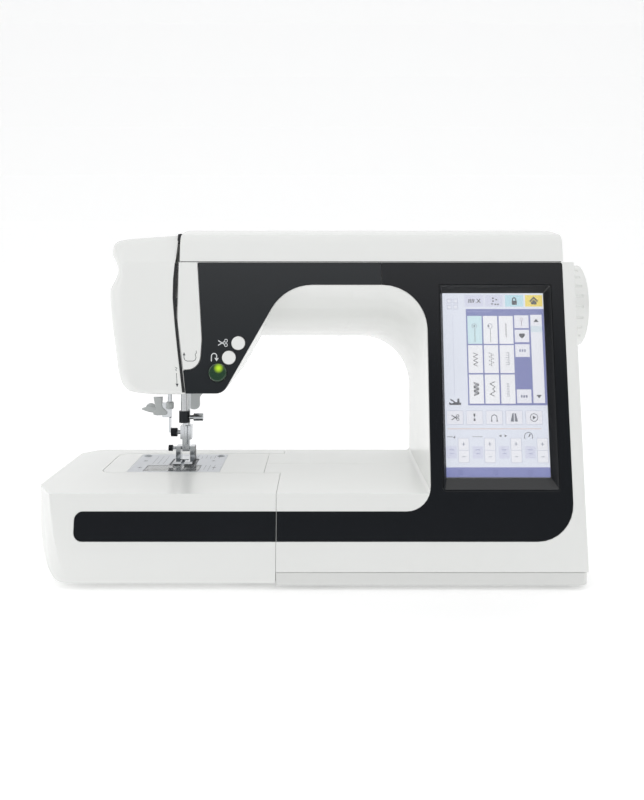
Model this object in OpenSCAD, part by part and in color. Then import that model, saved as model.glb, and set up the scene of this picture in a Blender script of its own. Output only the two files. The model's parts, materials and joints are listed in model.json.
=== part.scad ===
// Computerised sewing machine with a free arm, a slide-on accessory table and a
// touch screen in the pillar. Millimetres. X runs to the operator's right, Y runs
// away from the operator and Z is up. The origin is on the table top that the
// machine stands on, under the middle of its footprint.

/* [Overall] */
// Height from the table top to the crown of the lid
body_h = 295; // [293:1:297]
// Depth from the foot of the front face to the back
body_d = 188; // [187:1:189]
// Height of the working surface of the bed
bed_h = 75; // [74.5:0.5:76]
// Backward lean of the front face, in millimetres per millimetre of height
front_lean = 0.165; // [0.16:0.005:0.17]
// Wall thickness of the moulded covers
wall = 2.5; // [2:0.1:2.8]

/* [Arm and throat] */
// Distance from the needle to the pillar
throat_w = 220.5; // [219:0.5:221]
// Height of the arm's underside at its front edge
arm_front_z = 245.5; // [244:0.5:246]
// Height of the arm's underside at the back
arm_back_z = 191.6; // [190:0.2:193]
// Height of the underside of the head
head_z = 155; // [154:0.5:156]

/* [Sewing head] */
// Needle stroke from top to bottom
needle_stroke = 32; // [28:1:32]
// Radius of the main shaft
shaft_r = 7; // [6:0.5:8]

/* [Handwheel] */
// Radius of the handwheel
wheel_r = 38; // [35:0.5:39]

/* [Screen] */
// Width of the visible display
display_w = 87.5; // [86:0.5:90]
// Height of the visible display
display_h = 154; // [150:1:155]

/* [Hidden] */
$fn = 48;
gap = 0.3;
fit = 0.04;

// Casing
right_x = 216;
table_left_x = -241.5;
seam_x = -37;
tongue_x = -52;
back_y = 92.5;
seam_y = 30;
pan_z = 4;
pan_top_z = 13.6;
casing_z = 14;
deck_z = 265.2;
deck_x0 = -116.7;
deck_x1 = 199.7;
deck_y0 = -43.7;
deck_y1 = 59.7;
lid_z = 265.8;
fascia_t = 2;
skin_t = 4.5;
face_x = -122.5;

// Needle and shafts
needle_x = -131;
needle_y = 35;
presser_y = 49;
shaft_y = 35;
shaft_z = 225;
lower_y = 38.6;
lower_z = 38;
hook_x = -133;
hook_y = 14.2;
hook_r = 19.5;
frame_z = 20.5;
hook_z = 56;
pillar_x = needle_x + throat_w;

// Throat opening
slant = 0.567;
slant_foot_x = -82.2;
throat_r = 38;
slant_r = 40;

// Free arm and needle plate
arm_left_x = -200;
arm_front_y = -9;
arm_back_y = 73;
plate_x0 = -177.4;
plate_w = 84.5;
plate_y0 = -5;
plate_d = 74;
plate_t = 1.6;

// Display
display_x = 103.5;
display_z = 85.5;
screen_x = 100;
screen_z = 77;
screen_w = 96;
screen_h = 169.4;

// Belts and motor
belt_x = 150;
belt_w = 8;
belt_t = 1.5;
timing_r = 16;
drive_x = 180;
drive_r = 26;
motor_r = 7;
motor_y = 0;
motor_z = 140;

// Lid and handle
lid_left_x = -121.5;
lid_right_x = 207;
lid_back_y = 84.5;
hinge_y = 78;
hinge_z = 272.5;
hinge_ear_x = [-90, 60, 180];
handle_y = 90;
handle_z = 252;
handle_x0 = 20;
handle_x1 = 160;

// Spool well and bobbin winder
spool_y = -10;
spool_z = 262;
winder_x = 160;
winder_y = 5;

// ---- Outlines and extrusions ----

function unit(v) = v / norm(v);
function front_y(z) = -body_d / 2 + front_lean * z;
function slant_x(z, i) = slant_foot_x + (z - head_z) * slant - 1.15 * i;

// Arc that rounds one corner [x, y, radius] of an outline
function corner_arc(before, corner, after, steps) =
    let (p = [corner.x, corner.y], r = corner[2])
    r == 0 ? [p] :
    let (
        a = unit([before.x, before.y] - p),
        b = unit([after.x, after.y] - p),
        half = acos(a * b) / 2,
        centre = p + unit(a + b) * r / sin(half),
        first = p + a * r / tan(half) - centre,
        last = p + b * r / tan(half) - centre,
        start = atan2(first.y, first.x),
        sweep = atan2(cross(first, last), first * last)
    )
    [for (k = [0:steps]) centre + r * [cos(start + sweep * k / steps), sin(start + sweep * k / steps)]];

// Outline with its corners rounded
function rounded(points, steps = 6) =
    let (n = len(points))
    [for (k = [0:n - 1])
        for (p = corner_arc(points[(k + n - 1) % n], points[k], points[(k + 1) % n], steps)) p];

// Closed loop of a belt around two pulleys
function belt_loop(c1, r1, c2, r2, steps = 16) =
    let (
        along = c2 - c1,
        heading = atan2(along.y, along.x),
        lap = acos((r1 - r2) / norm(along))
    )
    concat(
        [for (k = [0:steps]) let (a = heading + lap + (360 - 2 * lap) * k / steps)
            c1 + r1 * [cos(a), sin(a)]],
        [for (k = [0:steps]) let (a = heading - lap + 2 * lap * k / steps)
            c2 + r2 * [cos(a), sin(a)]]
    );

// A flat X-Z outline carried from y0 to y1
module along_y(y0, y1) {
    translate([0, y1, 0])
        rotate([90, 0, 0])
            linear_extrude(y1 - y0)
                children();
}

// A flat Y-Z outline carried from x0 to x1
module along_x(x0, x1) {
    translate([x0, 0, 0])
        rotate([90, 0, 90])
            linear_extrude(x1 - x0)
                children();
}

// A flat X-Y outline carried from z0 to z1
module along_z(z0, z1) {
    translate([0, 0, z0])
        linear_extrude(z1 - z0)
            children();
}

module block(x0, x1, y0, y1, z0, z1) {
    translate([x0, y0, z0])
        cube([x1 - x0, y1 - y0, z1 - z0]);
}

// Round bar along X, Y or Z
module rod_x(x0, x1, y, z, r) {
    translate([x0, y, z])
        rotate([0, 90, 0])
            cylinder(r = r, h = x1 - x0);
}

module rod_y(x, y0, y1, z, r) {
    translate([x, y1, z])
        rotate([90, 0, 0])
            cylinder(r = r, h = y1 - y0);
}

module rod_z(x, y, z0, z1, r) {
    translate([x, y, z0])
        cylinder(r = r, h = z1 - z0);
}

// Layer that follows the leaning front face, from one depth behind it to another
module front_layer(depth0, depth1) {
    along_x(-260, 260)
        polygon([
            [front_y(0) + depth0, 0],
            [front_y(0) + depth1, 0],
            [front_y(300) + depth1, 300],
            [front_y(300) + depth0, 300]
        ]);
}

// Toothed wheel lying in the X-Y plane
module toothed(teeth, r, depth, width) {
    step = 360 / teeth;
    linear_extrude(width)
        polygon([for (k = [0:teeth - 1]) each [
            (r - depth) * [cos(step * k), sin(step * k)],
            (r - depth) * [cos(step * (k + 0.3)), sin(step * (k + 0.3))],
            r * [cos(step * (k + 0.42)), sin(step * (k + 0.42))],
            r * [cos(step * (k + 0.88)), sin(step * (k + 0.88))]
        ]]);
}

// ---- Main casing ----

// Radius of the head's lower right corner
head_corner_r = 10;

// One cross-section of the throat opening, with its top at z
module throat_section(z, r, i) {
    polygon(rounded([
        [slant_foot_x - 20, bed_h - i, 0],
        [slant_foot_x - 20, head_z + i, 0],
        [slant_x(head_z + i, i), head_z + i, head_corner_r - i],
        [slant_x(z + i, i), z + i, slant_r],
        [pillar_x + i, z + i, r],
        [pillar_x + i, bed_h - i, 3]
    ], 8));
}

// Underside of the arm in side view: it drops steeply behind the front edge and
// flattens towards the back, as a quadratic curve through three guide points
function belly(i) =
    let (a = [-54, arm_front_z + i], b = [-35, 200 + i], c = [back_y + 3, arm_back_z + i])
    concat(
        [[-101, bed_h - i - 1], [-101, a.y]],
        [for (k = [0:8]) let (t = k / 8) (1 - t) * (1 - t) * a + 2 * t * (1 - t) * b + t * t * c],
        [[c.x, bed_h - i - 1]]
    );

// The open throat under the arm
module throat(i) {
    intersection() {
        along_y(-100, back_y + 2)
            throat_section(arm_front_z, throat_r, i);
        along_x(-200, 200)
            polygon(belly(i));
    }
}

// Bed, pillar, arm and head as one form, drawn in by i
module body_form(i) {
    difference() {
        union() {
            along_y(-100, back_y - i)
                polygon([
                    [seam_x + i, casing_z - i], [right_x - i, casing_z - i],
                    [right_x - i, deck_z - i], [face_x - i, deck_z - i],
                    [face_x - i, head_z + i], [0, head_z + i], [0, bed_h - i],
                    [seam_x + i, bed_h - i]
                ]);
            block(tongue_x - i, seam_x + i + 1, arm_front_y + i, arm_back_y - i,
                casing_z - i, bed_h - i);
        }
        throat(i);
    }
}

// Walls of the body: outer form less the hollow inside it
module body_walls() {
    difference() {
        body_form(0);
        intersection() {
            body_form(wall);
            front_layer(skin_t, 300);
        }
        rod_x(right_x - 5, right_x + 1, shaft_y, shaft_z, shaft_r + 4);
        block(deck_x0 - gap, deck_x1 + gap, deck_y0 - gap, deck_y1 + gap,
            deck_z - wall - 1, deck_z + 1);
    }
}

// Outline of the black front panel, over bed, pillar, arm and head
module fascia_outline(grow) {
    polygon(rounded([
        [206 + grow, 37.5 - grow, 30],
        [206 + grow, 264.8 + grow, 2],
        [-106 - grow, 264.8 + grow, 1],
        [-100.8 - grow, 200, 30],
        [-102 - grow, 174.4 + grow, 11.5],
        [-116.2 - grow, 174.4 + grow, 1],
        [-113.6 - grow, head_z + 0.05 - 2 * grow, 1],
        [slant_x(head_z, 0) - 0.3 + grow, head_z + 0.05 - 2 * grow, head_corner_r],
        [slant_x(arm_front_z, 0) - 0.3 + grow, arm_front_z + 0.3 - grow, slant_r],
        [pillar_x + 0.3 - grow, arm_front_z + 0.3 - grow, throat_r],
        [pillar_x + 0.3 - grow, 61 + grow, 20],
        [seam_x + 0.3 - grow, 61 + grow, 0],
        [seam_x + 0.3 - grow, 37.5 - grow, 0]
    ], 8));
}

// Recess that the black panels lie in
module fascia_recess() {
    intersection() {
        along_y(-100, 0)
            fascia_outline(0.15);
        front_layer(-1, fascia_t + 0.05);
    }
}

// Rounded window, along the leaning front face
module screen_window(x0, x1, z0, z1, r, depth0, depth1) {
    intersection() {
        along_y(-110, 20)
            polygon(rounded([[x0, z0, r], [x1, z0, r], [x1, z1, r], [x0, z1, r]]));
        front_layer(depth0, depth1);
    }
}

module front_casing() {
    color([0.90, 0.90, 0.89])
        difference() {
            intersection() {
                body_walls();
                front_layer(0, 300);
                block(-260, 260, -100, seam_y - gap / 2, 0, 300);
            }
            fascia_recess();
            guide_strip_form(0.3, -1, 3);
            screen_window(screen_x - 0.5, screen_x + screen_w + 0.5,
                screen_z - 0.5, screen_z + screen_h + 0.5, 2, -1, 30);
            for (b = buttons)
                button_bore(b, b[2] + 0.6);
            lamp_block(gap, 150, 160);
        }
}

module rear_casing() {
    color([0.88, 0.88, 0.87])
        difference() {
            intersection() {
                body_walls();
                block(-260, 260, seam_y + gap / 2, 100, 0, 300);
            }
            handle_pocket(0);
            rod_x(handle_x0 - 20, handle_x1 + 20, handle_y, handle_z, 2.05);
            for (y = socket_y)
                block(right_x - 5, right_x + 1, y - 8, y + 8, socket_z - 13, socket_z + 13);
            for (p = casing_screw_places)
                rod_y(p.x, back_y - 5, back_y + 1, p.y, 2);
            lifter_slot();
        }
    color([0.88, 0.88, 0.87])
        difference() {
            handle_pocket(2);
            handle_pocket(0);
            rod_x(handle_x0 - 20, handle_x1 + 20, handle_y, handle_z, 2.05);
            block(-260, 260, back_y, 120, 0, 300);
            block(-260, 260, 80, 120, deck_z, 300);
        }
}

casing_screw_places = [[-80, 175], [-80, 250], [190, 250], [190, 30], [100, 30], [-20, 30], [190, 130]];

// Screws that hold the covers: through the back, up through the base, and one
// through the side of the face cover
module cover_screws() {
    color([0.55, 0.56, 0.58]) {
        for (p = casing_screw_places) {
            rod_y(p.x, back_y, back_y + 1.4, p.y, 3.4);
            rod_y(p.x, back_y - 10, back_y, p.y, 1.9);
        }
        for (p = pan_screw_places) {
            rod_z(p.x, p.y, pan_z - 1.6, pan_z, 4);
            rod_z(p.x, p.y, pan_z, pan_z + 11, 2);
        }
        rod_x(-169.6, -167.6, 20, 163, 4);
        rod_x(-167.6, -157, 20, 163, 2);
    }
}

// ---- Base ----

module pan_outline(i) {
    polygon(rounded([
        [seam_x + i, front_y(pan_z) + i, 2],
        [right_x - i, front_y(pan_z) + i, 8],
        [right_x - i, back_y - i, 8],
        [seam_x + i, back_y - i, 2],
        [seam_x + i, arm_back_y - i, 0],
        [arm_left_x + 2 + i, arm_back_y - i, 10],
        [arm_left_x + 2 + i, arm_front_y + i, 10],
        [seam_x + i, arm_front_y + i, 0]
    ]));
}

foot_places = [[0, -70], [195, -70], [195, 72], [0, 72], [-180, 32]];
pan_screw_places = [[40, -60], [150, -60], [150, 62], [40, 62], [-160, 60]];

module base_pan() {
    color([0.84, 0.84, 0.83])
        difference() {
            intersection() {
                along_z(pan_z, pan_top_z)
                    pan_outline(0);
                front_layer(0, 300);
            }
            along_z(pan_z + wall, pan_top_z + 1)
                pan_outline(wall + 1);
            for (p = pan_screw_places)
                rod_z(p.x, p.y, pan_z - 1, pan_z + wall + 1, 2.2);
            for (k = [0:8])
                block(60 + 8 * k, 63 + 8 * k, -20, 20, pan_z - 1, pan_z + wall + 1);
        }
}

module rubber_feet() {
    color([0.15, 0.15, 0.16])
        for (p = foot_places) {
            rod_z(p.x, p.y, 0, 3, 8);
            rod_z(p.x, p.y, 3, pan_z, 9);
        }
}

// ---- Front panels and screen ----

module panel_layer() {
    intersection() {
        along_y(-100, 0)
            fascia_outline(0);
        front_layer(0.1, fascia_t);
    }
}

panel_split_x = 51.3;

module pillar_fascia() {
    color([0.10, 0.11, 0.13])
        difference() {
            panel_layer();
            block(-260, panel_split_x, -100, 0, 150, 300);
            screen_window(screen_x, screen_x + screen_w, screen_z, screen_z + screen_h, 2, -1, 10);
        }
}

module arm_fascia() {
    color([0.17, 0.18, 0.20])
        difference() {
            intersection() {
                panel_layer();
                block(-260, panel_split_x - 0.25, -100, 0, 150, 300);
            }
            for (b = buttons)
                button_bore(b, b[2] + 0.25);
        }
}

// Mitred frame that slopes down from the panel to the touch glass
module screen_bezel() {
    color([0.14, 0.15, 0.17])
        difference() {
            screen_window(screen_x + 0.2, screen_x + screen_w - 0.2,
                screen_z + 0.2, screen_z + screen_h - 0.2, 1.8, 0.3, 9);
            screen_window(display_x, display_x + display_w,
                display_z - 0.5, display_z + display_h - 0.5, 1, -1, 12);
        }
}

module screen_glass() {
    color([0.75, 0.80, 0.88, 0.5])
        screen_window(screen_x + 1, screen_x + screen_w - 1,
            screen_z + 1, screen_z + screen_h - 1, 1, 9.1, 10.6);
}

module display_panel() {
    color([0.88, 0.91, 0.97])
        screen_window(screen_x + 2, screen_x + screen_w - 2,
            screen_z + 2, screen_z + screen_h - 2, 1, 10.8, 14.5);
}

module main_board() {
    color([0.10, 0.38, 0.22])
        screen_window(screen_x, screen_x + screen_w, screen_z, screen_z + screen_h, 1, 20, 21.6);
    color([0.15, 0.15, 0.16])
        for (z = [100, 135, 170, 205])
            screen_window(120, 140, z, z + 20, 0.5, 21.6, 24);
}

// Thread guide strip beside the take-up slot
module guide_strip_form(grow, depth0, depth1) {
    intersection() {
        along_y(-100, 0)
            polygon(rounded([
                [-122.2 - grow, 264.8, 0.5],
                [-106.5 + grow, 264.8, 0.5],
                [-101.3 + grow, 200, 30],
                [-102.5 + grow, 174.9 - grow, 11],
                [-116.1 - grow, 174.9 - grow, 1],
                [-121.9 - grow, 215, 20]
            ]));
        front_layer(depth0, depth1);
    }
}

module thread_guide_strip() {
    color([0.86, 0.86, 0.85])
        difference() {
            guide_strip_form(0, -0.4, fascia_t);
            front_layer(-2, -0.39);
        }
}

// ---- Buttons: [x, z, radius] ----

buttons = [[-70.2, 196.7, 5.75], [-77.9, 184.7, 5.75], [-87.2, 172.4, 7.5]];

// Passage for a button, square to the leaning front face
module button_bore(b, r) {
    translate([b.x, front_y(b.y), b.y])
        rotate([90 - atan(front_lean), 0, 0])
            translate([0, 0, -8])
                cylinder(r = r, h = 12);
}

module button(b, proud) {
    translate([b.x, front_y(b.y), b.y])
        rotate([90 - atan(front_lean), 0, 0])
            translate([0, 0, -5]) {
                cylinder(r = b[2], h = 5 + proud - 0.6);
                translate([0, 0, 5 + proud - 0.6])
                    cylinder(r1 = b[2], r2 = b[2] - 0.6, h = 0.6);
            }
}

module cutter_button() {
    color([0.85, 0.85, 0.85])
        button(buttons[0], 1.6);
}

module reverse_button() {
    color([0.85, 0.85, 0.85])
        button(buttons[1], 1.6);
}

module start_button() {
    color([0.12, 0.45, 0.15])
        button(buttons[2], 1.8);
}

// ---- Face cover on the left of the head ----

module face_form(i) {
    intersection() {
        along_y(-100, back_y - 2.5 - i)
            polygon(rounded([
                [face_x - gap, head_z + i, 0],
                [face_x - gap, 289.5 - i, 0],
                [-181 + i, 286 - i, 8],
                [-181 + i, 232, 40],
                [-175 + i, 200, 60],
                [-162 + i, head_z + i, 10]
            ]));
        along_x(-200, -100)
            polygon(rounded([
                [front_y(140) + i, 140, 0],
                [front_y(264) + i, 264, 6],
                [-38 + i, 290 - i, 10],
                [back_y - 2.5 - i, 290 - i, 8],
                [back_y - 2.5 - i, 140, 0]
            ]));
    }
}

module face_cover() {
    color([0.86, 0.87, 0.86])
        difference() {
            face_form(0);
            face_form(wall);
            block(-130, -100, -70, back_y - 2.5 - wall, head_z + wall, 289.5 - wall);
            block(-158, -100, 12, 76, head_z - 1, head_z + 8);
            block(-200, -179.4, -36, 40, 242, 272);
            rod_x(-180, -150, 20, 163, 2.1);
            block(-175, -163, -47, -33, 169, 183);
        }
}

// Blade behind the slit that trims the thread by hand
module thread_cutter() {
    color([0.45, 0.46, 0.48])
        block(-165.2, -163.8, -45, -35, 170, 182);
}

// Lamp under the head: lens below, light board above
module lamp_block(grow, z0, z1) {
    block(-112 - grow, -92 + grow, 12 - grow, 26 + grow, z0, z1);
}

module sewing_lamp() {
    color([0.93, 0.94, 0.90, 0.6])
        lamp_block(0, head_z - 0.8, head_z + 3);
    color([0.10, 0.38, 0.22])
        lamp_block(0, head_z + 3.2, head_z + 4.8);
}

// ---- Lid, spool deck and handle ----

module lid_form(i) {
    intersection() {
        along_x(lid_left_x + i, lid_right_x - i)
            polygon(rounded([
                [front_y(lid_z) + i, lid_z - (i > 0 ? 5 : 0), 0],
                [front_y(288) + i, 288 - i, 12],
                [-12, 294 - i, 40],
                [30, body_h - i, 40],
                [lid_back_y - 2 - i, 287 - i, 12],
                [lid_back_y - i, lid_z - (i > 0 ? 5 : 0), 0]
            ]));
        along_y(-100, 100)
            polygon(rounded([
                [lid_left_x + i, lid_z - 10, 0],
                [lid_right_x - i, lid_z - 10, 0],
                [lid_right_x - i, body_h - i, 8],
                [lid_left_x + i, body_h - i, 4]
            ]));
    }
}

module top_lid() {
    color([0.92, 0.92, 0.91])
        difference() {
            union() {
                difference() {
                    lid_form(0);
                    lid_form(wall);
                    block(-260, 260, 72, 100, 260, 270.5);
                    for (x = hinge_ear_x)
                        block(x - 14, x + 14, 80, 100, 260, 280);
                }
                intersection() {
                    for (x = hinge_ear_x)
                        block(x - 8, x + 8, hinge_y - 4, hinge_y + 4, hinge_z - 4, 292);
                    lid_form(0);
                }
            }
            for (x = hinge_ear_x)
                rod_x(x - 11, x + 11, hinge_y, hinge_z, 2 + fit);
        }
}

// Deck under the lid, with a well for the thread spool
module spool_deck() {
    color([0.80, 0.81, 0.80])
        difference() {
            union() {
                block(deck_x0, deck_x1, deck_y0, deck_y1, deck_z - wall, deck_z);
                block(-42, 92, -38, 19, 238, deck_z - wall);
                for (x = hinge_ear_x) {
                    hinge_post(x - 13);
                    hinge_post(x + 8.5);
                    block(x - 13, x + 13, 57, hinge_y, deck_z, deck_z + 0.8);
                }
            }
            block(-40, 90, -36, 17, 240, deck_z + 1);
            rod_z(winder_x, winder_y, deck_z - 5, deck_z + 1, 4);
            block(winder_x, winder_x + 10, winder_y - 4, winder_y + 4, deck_z - 5, deck_z + 1);
            for (x = hinge_ear_x)
                rod_x(x - 14, x + 14, hinge_y, hinge_z, 2);
        }
}

// Post that carries one end of a hinge pin
module hinge_post(x) {
    block(x, x + 4.5, hinge_y - 9, hinge_y + 3.7, deck_z, hinge_z);
    rod_x(x, x + 4.5, hinge_y, hinge_z, 3.7);
}

module spool_pin() {
    color([0.85, 0.85, 0.84]) {
        rod_x(0, 78, spool_y, spool_z, 2.5);
        rod_x(78, 90, spool_y, spool_z, 5);
    }
}

module spool_cap() {
    color([0.88, 0.88, 0.87])
        difference() {
            union() {
                rod_x(6, 8.5, spool_y, spool_z, 13);
                rod_x(8.5, 20, spool_y, spool_z, 5);
            }
            rod_x(5, 21, spool_y, spool_z, 2.5 + fit);
        }
}

// Bobbin winder: a carriage that shifts right to engage, with a spindle that turns
module winder_carriage() {
    color([0.25, 0.26, 0.28])
        difference() {
            union() {
                block(winder_x - 10, winder_x + 6, winder_y - 5, winder_y + 5, 250, 260);
                rod_z(winder_x, winder_y, 260, deck_z + 1.5, 3.5);
            }
            rod_z(winder_x, winder_y, 249, deck_z + 3, 2 + fit);
        }
}

module winder_spindle() {
    color([0.72, 0.73, 0.75]) {
        rod_z(winder_x, winder_y, 246, 284, 2);
        rod_z(winder_x, winder_y, deck_z + 2, deck_z + 3.5, 8);
        rod_z(winder_x, winder_y, 246, 249, 7);
    }
}

module winder_stop() {
    color([0.86, 0.86, 0.85])
        difference() {
            rod_z(winder_x + 28, winder_y, deck_z, deck_z + 12, 9);
            block(winder_x + 15, winder_x + 24, -10, 20, deck_z - 1, deck_z + 13);
        }
}

module handle_pocket(grow) {
    block(handle_x0 - 11 - grow, handle_x1 + 11 + grow, 84.8 - grow, 94.5, 197 - grow, 270);
}

// U-shaped carrying handle that hangs in its pocket and swings up
module carry_handle() {
    color([0.82, 0.82, 0.81])
        difference() {
            union() {
                for (x = [handle_x0 - 7, handle_x1 - 7]) {
                    block(x, x + 14, handle_y - 4, handle_y + 4, 200, handle_z);
                    rod_x(x, x + 14, handle_y, handle_z, 4);
                }
                rod_x(handle_x0 + 6, handle_x1 - 6, handle_y, 206, 3.9);
                block(handle_x0 + 6, handle_x1 - 6, handle_y - 3.9, handle_y + 3.9, 200, 206);
            }
            rod_x(handle_x0 - 20, handle_x1 + 20, handle_y, handle_z, 2 + fit);
        }
}

// Steel pins of the lid's three hinges and of the handle's two pivots
module pivot_pins() {
    color([0.7, 0.7, 0.72]) {
        for (x = hinge_ear_x)
            rod_x(x - 13, x + 13, hinge_y, hinge_z, 2);
        rod_x(handle_x0 - 13, handle_x0 + 7.5, handle_y, handle_z, 2);
        rod_x(handle_x1 - 7.5, handle_x1 + 13, handle_y, handle_z, 2);
    }
}

// ---- Power inlet and switch on the right side ----

socket_y = [45, 68];
socket_z = 53;

module power_inlet() {
    color([0.12, 0.12, 0.13])
        difference() {
            block(right_x - 16, right_x - 0.2, socket_y[0] - 7.8, socket_y[0] + 7.8,
                socket_z - 12.8, socket_z + 12.8);
            block(right_x - 13, right_x + 1, socket_y[0] - 5, socket_y[0] + 5,
                socket_z - 9, socket_z + 9);
        }
    color([0.75, 0.76, 0.78])
        for (dz = [-4, 4])
            rod_x(right_x - 13, right_x - 5, socket_y[0], socket_z + dz, 1.2);
}

// Rocker that tips about an axis along Y
module power_switch() {
    color([0.14, 0.14, 0.15])
        intersection() {
            rod_y(right_x - 11, socket_y[1] - 7.5, socket_y[1] + 7.5, socket_z, 13);
            block(right_x - 9, right_x + 5, 0, 90, socket_z - 11, socket_z + 11);
        }
}

// ---- Accessory table ----

module table_outline(i) {
    polygon(rounded([
        [table_left_x + i, -50, 30],
        [-217 + i, front_y(5) + i, 30],
        [seam_x - gap, front_y(5) + i, 0],
        [seam_x - gap, back_y - i, 0],
        [-225 + i, back_y - i, 16],
        [table_left_x + i, 74, 16]
    ], 5));
}

// Front view of the table: its left end tucks under towards the floor
module table_elevation(i) {
    along_y(-100, 100)
        polygon(rounded([
            [seam_x, 5.7 + i, 0],
            [seam_x, bed_h - i, 0],
            [table_left_x + i, bed_h - i, 2],
            [table_left_x + i, 50, 40],
            [-233 + i, 20, 25],
            [-215 + i, 5.7 + i, 14]
        ]));
}

module table_form(i) {
    intersection() {
        along_z(5.7 + i, bed_h - i)
            table_outline(i);
        table_elevation(i);
        front_layer(i, 300);
    }
}

module accessory_table() {
    color([0.90, 0.90, 0.89])
        difference() {
            table_form(0);
            difference() {
                table_form(wall + 0.5);
                block(-210, 0, arm_front_y - 3.6, arm_back_y + 3.6, 0, 80);
                block(seam_x - 4, 0, -100, 100, 0, 100);
                for (x = [-151.2, -90])
                    block(x, x + 2, -100, -12, 0, 60);
            }
            translate([0, 0, -1])
                along_z(0, 90)
                    polygon(rounded([
                        [0, arm_front_y - 0.6, 0],
                        [0, arm_back_y + 0.6, 0],
                        [arm_left_x - 0.6, arm_back_y + 0.6, 12.5],
                        [arm_left_x - 0.6, arm_front_y - 0.6, 12.5]
                    ]));
            block(-190, -50, -14, -9, 14, 62);
            intersection() {
                along_y(-100, 0)
                    stripe_outline(0.15);
                front_layer(-1, fascia_t - 0.45);
            }
        }
}

module stripe_outline(grow) {
    polygon(rounded([
        [-202 - grow, 37.5 - grow, 7],
        [seam_x - gap, 37.5 - grow, 0],
        [seam_x - gap, 61 + grow, 0],
        [-202 - grow, 61 + grow, 7]
    ]));
}

module table_stripe() {
    color([0.10, 0.11, 0.13])
        intersection() {
            along_y(-100, 0)
                stripe_outline(0);
            front_layer(0.1, fascia_t - 0.5);
        }
}

module table_feet() {
    color([0.15, 0.15, 0.16])
        for (p = [[-60, -70], [-200, -60], [-200, 83], [-60, 83]])
            rod_z(p.x, p.y, 0, 5.7, 5);
}

// ---- Free arm, needle plate and hook ----

module arm_outline(i) {
    polygon(rounded([
        [tongue_x - gap, arm_front_y + i, 0],
        [tongue_x - gap, arm_back_y - i, 0],
        [arm_left_x + i, arm_back_y - i, 12],
        [arm_left_x + i, arm_front_y + i, 12]
    ]));
}

module free_arm_cover() {
    color([0.91, 0.91, 0.90])
        difference() {
            along_z(casing_z, bed_h)
                arm_outline(0);
            along_z(casing_z - 1, bed_h - 3.6)
                arm_outline(wall);
            block(tongue_x - wall - 2, tongue_x + 5, arm_front_y + wall, arm_back_y - wall,
                casing_z - 1, bed_h - 3.6);
            block(plate_x0 - 0.15, plate_x0 + plate_w + 0.15, plate_y0 - 0.15,
                plate_y0 + plate_d + 0.15, bed_h - plate_t, bed_h + 1);
            block(plate_x0 + 8, plate_x0 + plate_w - 8, plate_y0 + 2, plate_y0 + plate_d - 12,
                60, bed_h + 1);
        }
}

cover_x0 = -163;
cover_w = 50;
cover_y0 = -2.6;
cover_d = 24.6;
feed_rows = [[-143, 3.6], [-136.6, 2.4], [-127.8, 2.4], [-122.6, 3.6]];
plate_screw_places = [[-171, 62], [-99, 62]];

module needle_plate() {
    color([0.72, 0.74, 0.78])
        difference() {
            block(plate_x0, plate_x0 + plate_w, plate_y0, plate_y0 + plate_d,
                bed_h - plate_t, bed_h);
            block(cover_x0, cover_x0 + cover_w, cover_y0, cover_y0 + cover_d, 70, 80);
            block(needle_x - 4.5, needle_x + 4.5, needle_y - 1, needle_y + 1, 70, 80);
            for (row = feed_rows)
                block(row[0] - 0.5, row[0] + row[1] + 0.5, 23.4, 49, 70, 80);
            for (p = plate_screw_places)
                rod_z(p.x, p.y, 70, 80, 2.1);
        }
}

module plate_screws() {
    color([0.6, 0.61, 0.63])
        for (p = plate_screw_places) {
            rod_z(p.x, p.y, bed_h, bed_h + 0.8, 4);
            rod_z(p.x, p.y, bed_h - plate_t, bed_h, 2);
        }
}

module bobbin_cover() {
    color([0.85, 0.88, 0.90, 0.45])
        difference() {
            block(cover_x0 + 0.3, cover_x0 + cover_w - 0.3, cover_y0 + 0.3,
                cover_y0 + cover_d - 0.3, bed_h - plate_t, bed_h - 0.1);
            block(cover_x0 + cover_w - 12, cover_x0 + cover_w - 6, cover_y0 + 4,
                cover_y0 + 12, bed_h - 1, bed_h + 1);
        }
}

// Basket that holds the bobbin still inside the turning hook
module bobbin_case() {
    color([0.16, 0.16, 0.17])
        difference() {
            union() {
                rod_z(hook_x, hook_y, hook_z + 2, 71, 16);
                block(hook_x - 24, hook_x - 12, hook_y - 3, hook_y + 3, 70.4, 71.4);
                block(hook_x - 24, hook_x - 21, hook_y - 3, hook_y + 3, frame_z, 70.4);
            }
            rod_z(hook_x, hook_y, hook_z + 3.4, 72, 12);
        }
}

module bobbin() {
    color([0.85, 0.88, 0.90, 0.6])
        difference() {
            union() {
                rod_z(hook_x, hook_y, hook_z + 3.8, hook_z + 4.8, 10.2);
                rod_z(hook_x, hook_y, hook_z + 13.5, hook_z + 14.5, 10.2);
                rod_z(hook_x, hook_y, hook_z + 4.8, hook_z + 13.5, 4);
            }
            rod_z(hook_x, hook_y, hook_z, hook_z + 20, 3);
        }
}

// Hook cup on its upright shaft, driven two turns for each turn of the lower shaft
module rotary_hook() {
    color([0.70, 0.71, 0.73]) {
        difference() {
            rod_z(hook_x, hook_y, hook_z, 69, hook_r);
            rod_z(hook_x, hook_y, hook_z + 1.7, 70, hook_r - 3);
            block(hook_x + 4, hook_x + 25, hook_y + 4, hook_y + 25, hook_z + 8, 71);
        }
        rod_z(hook_x, hook_y, 26, hook_z, 4);
        translate([hook_x, hook_y, 32])
            toothed(16, 8, 1.6, 12);
    }
}

module feed_dog() {
    color([0.66, 0.67, 0.69]) {
        block(-145, -117, 40, 46, 60, 72);
        for (row = feed_rows)
            difference() {
                block(row[0], row[0] + row[1], 26.2, 46.2, 72, bed_h - 0.3);
                for (k = [0:8])
                    block(row[0] - 1, row[0] + row[1] + 1, 27 + 2.1 * k, 28 + 2.1 * k,
                        bed_h - 1, bed_h + 1);
            }
    }
}

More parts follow.
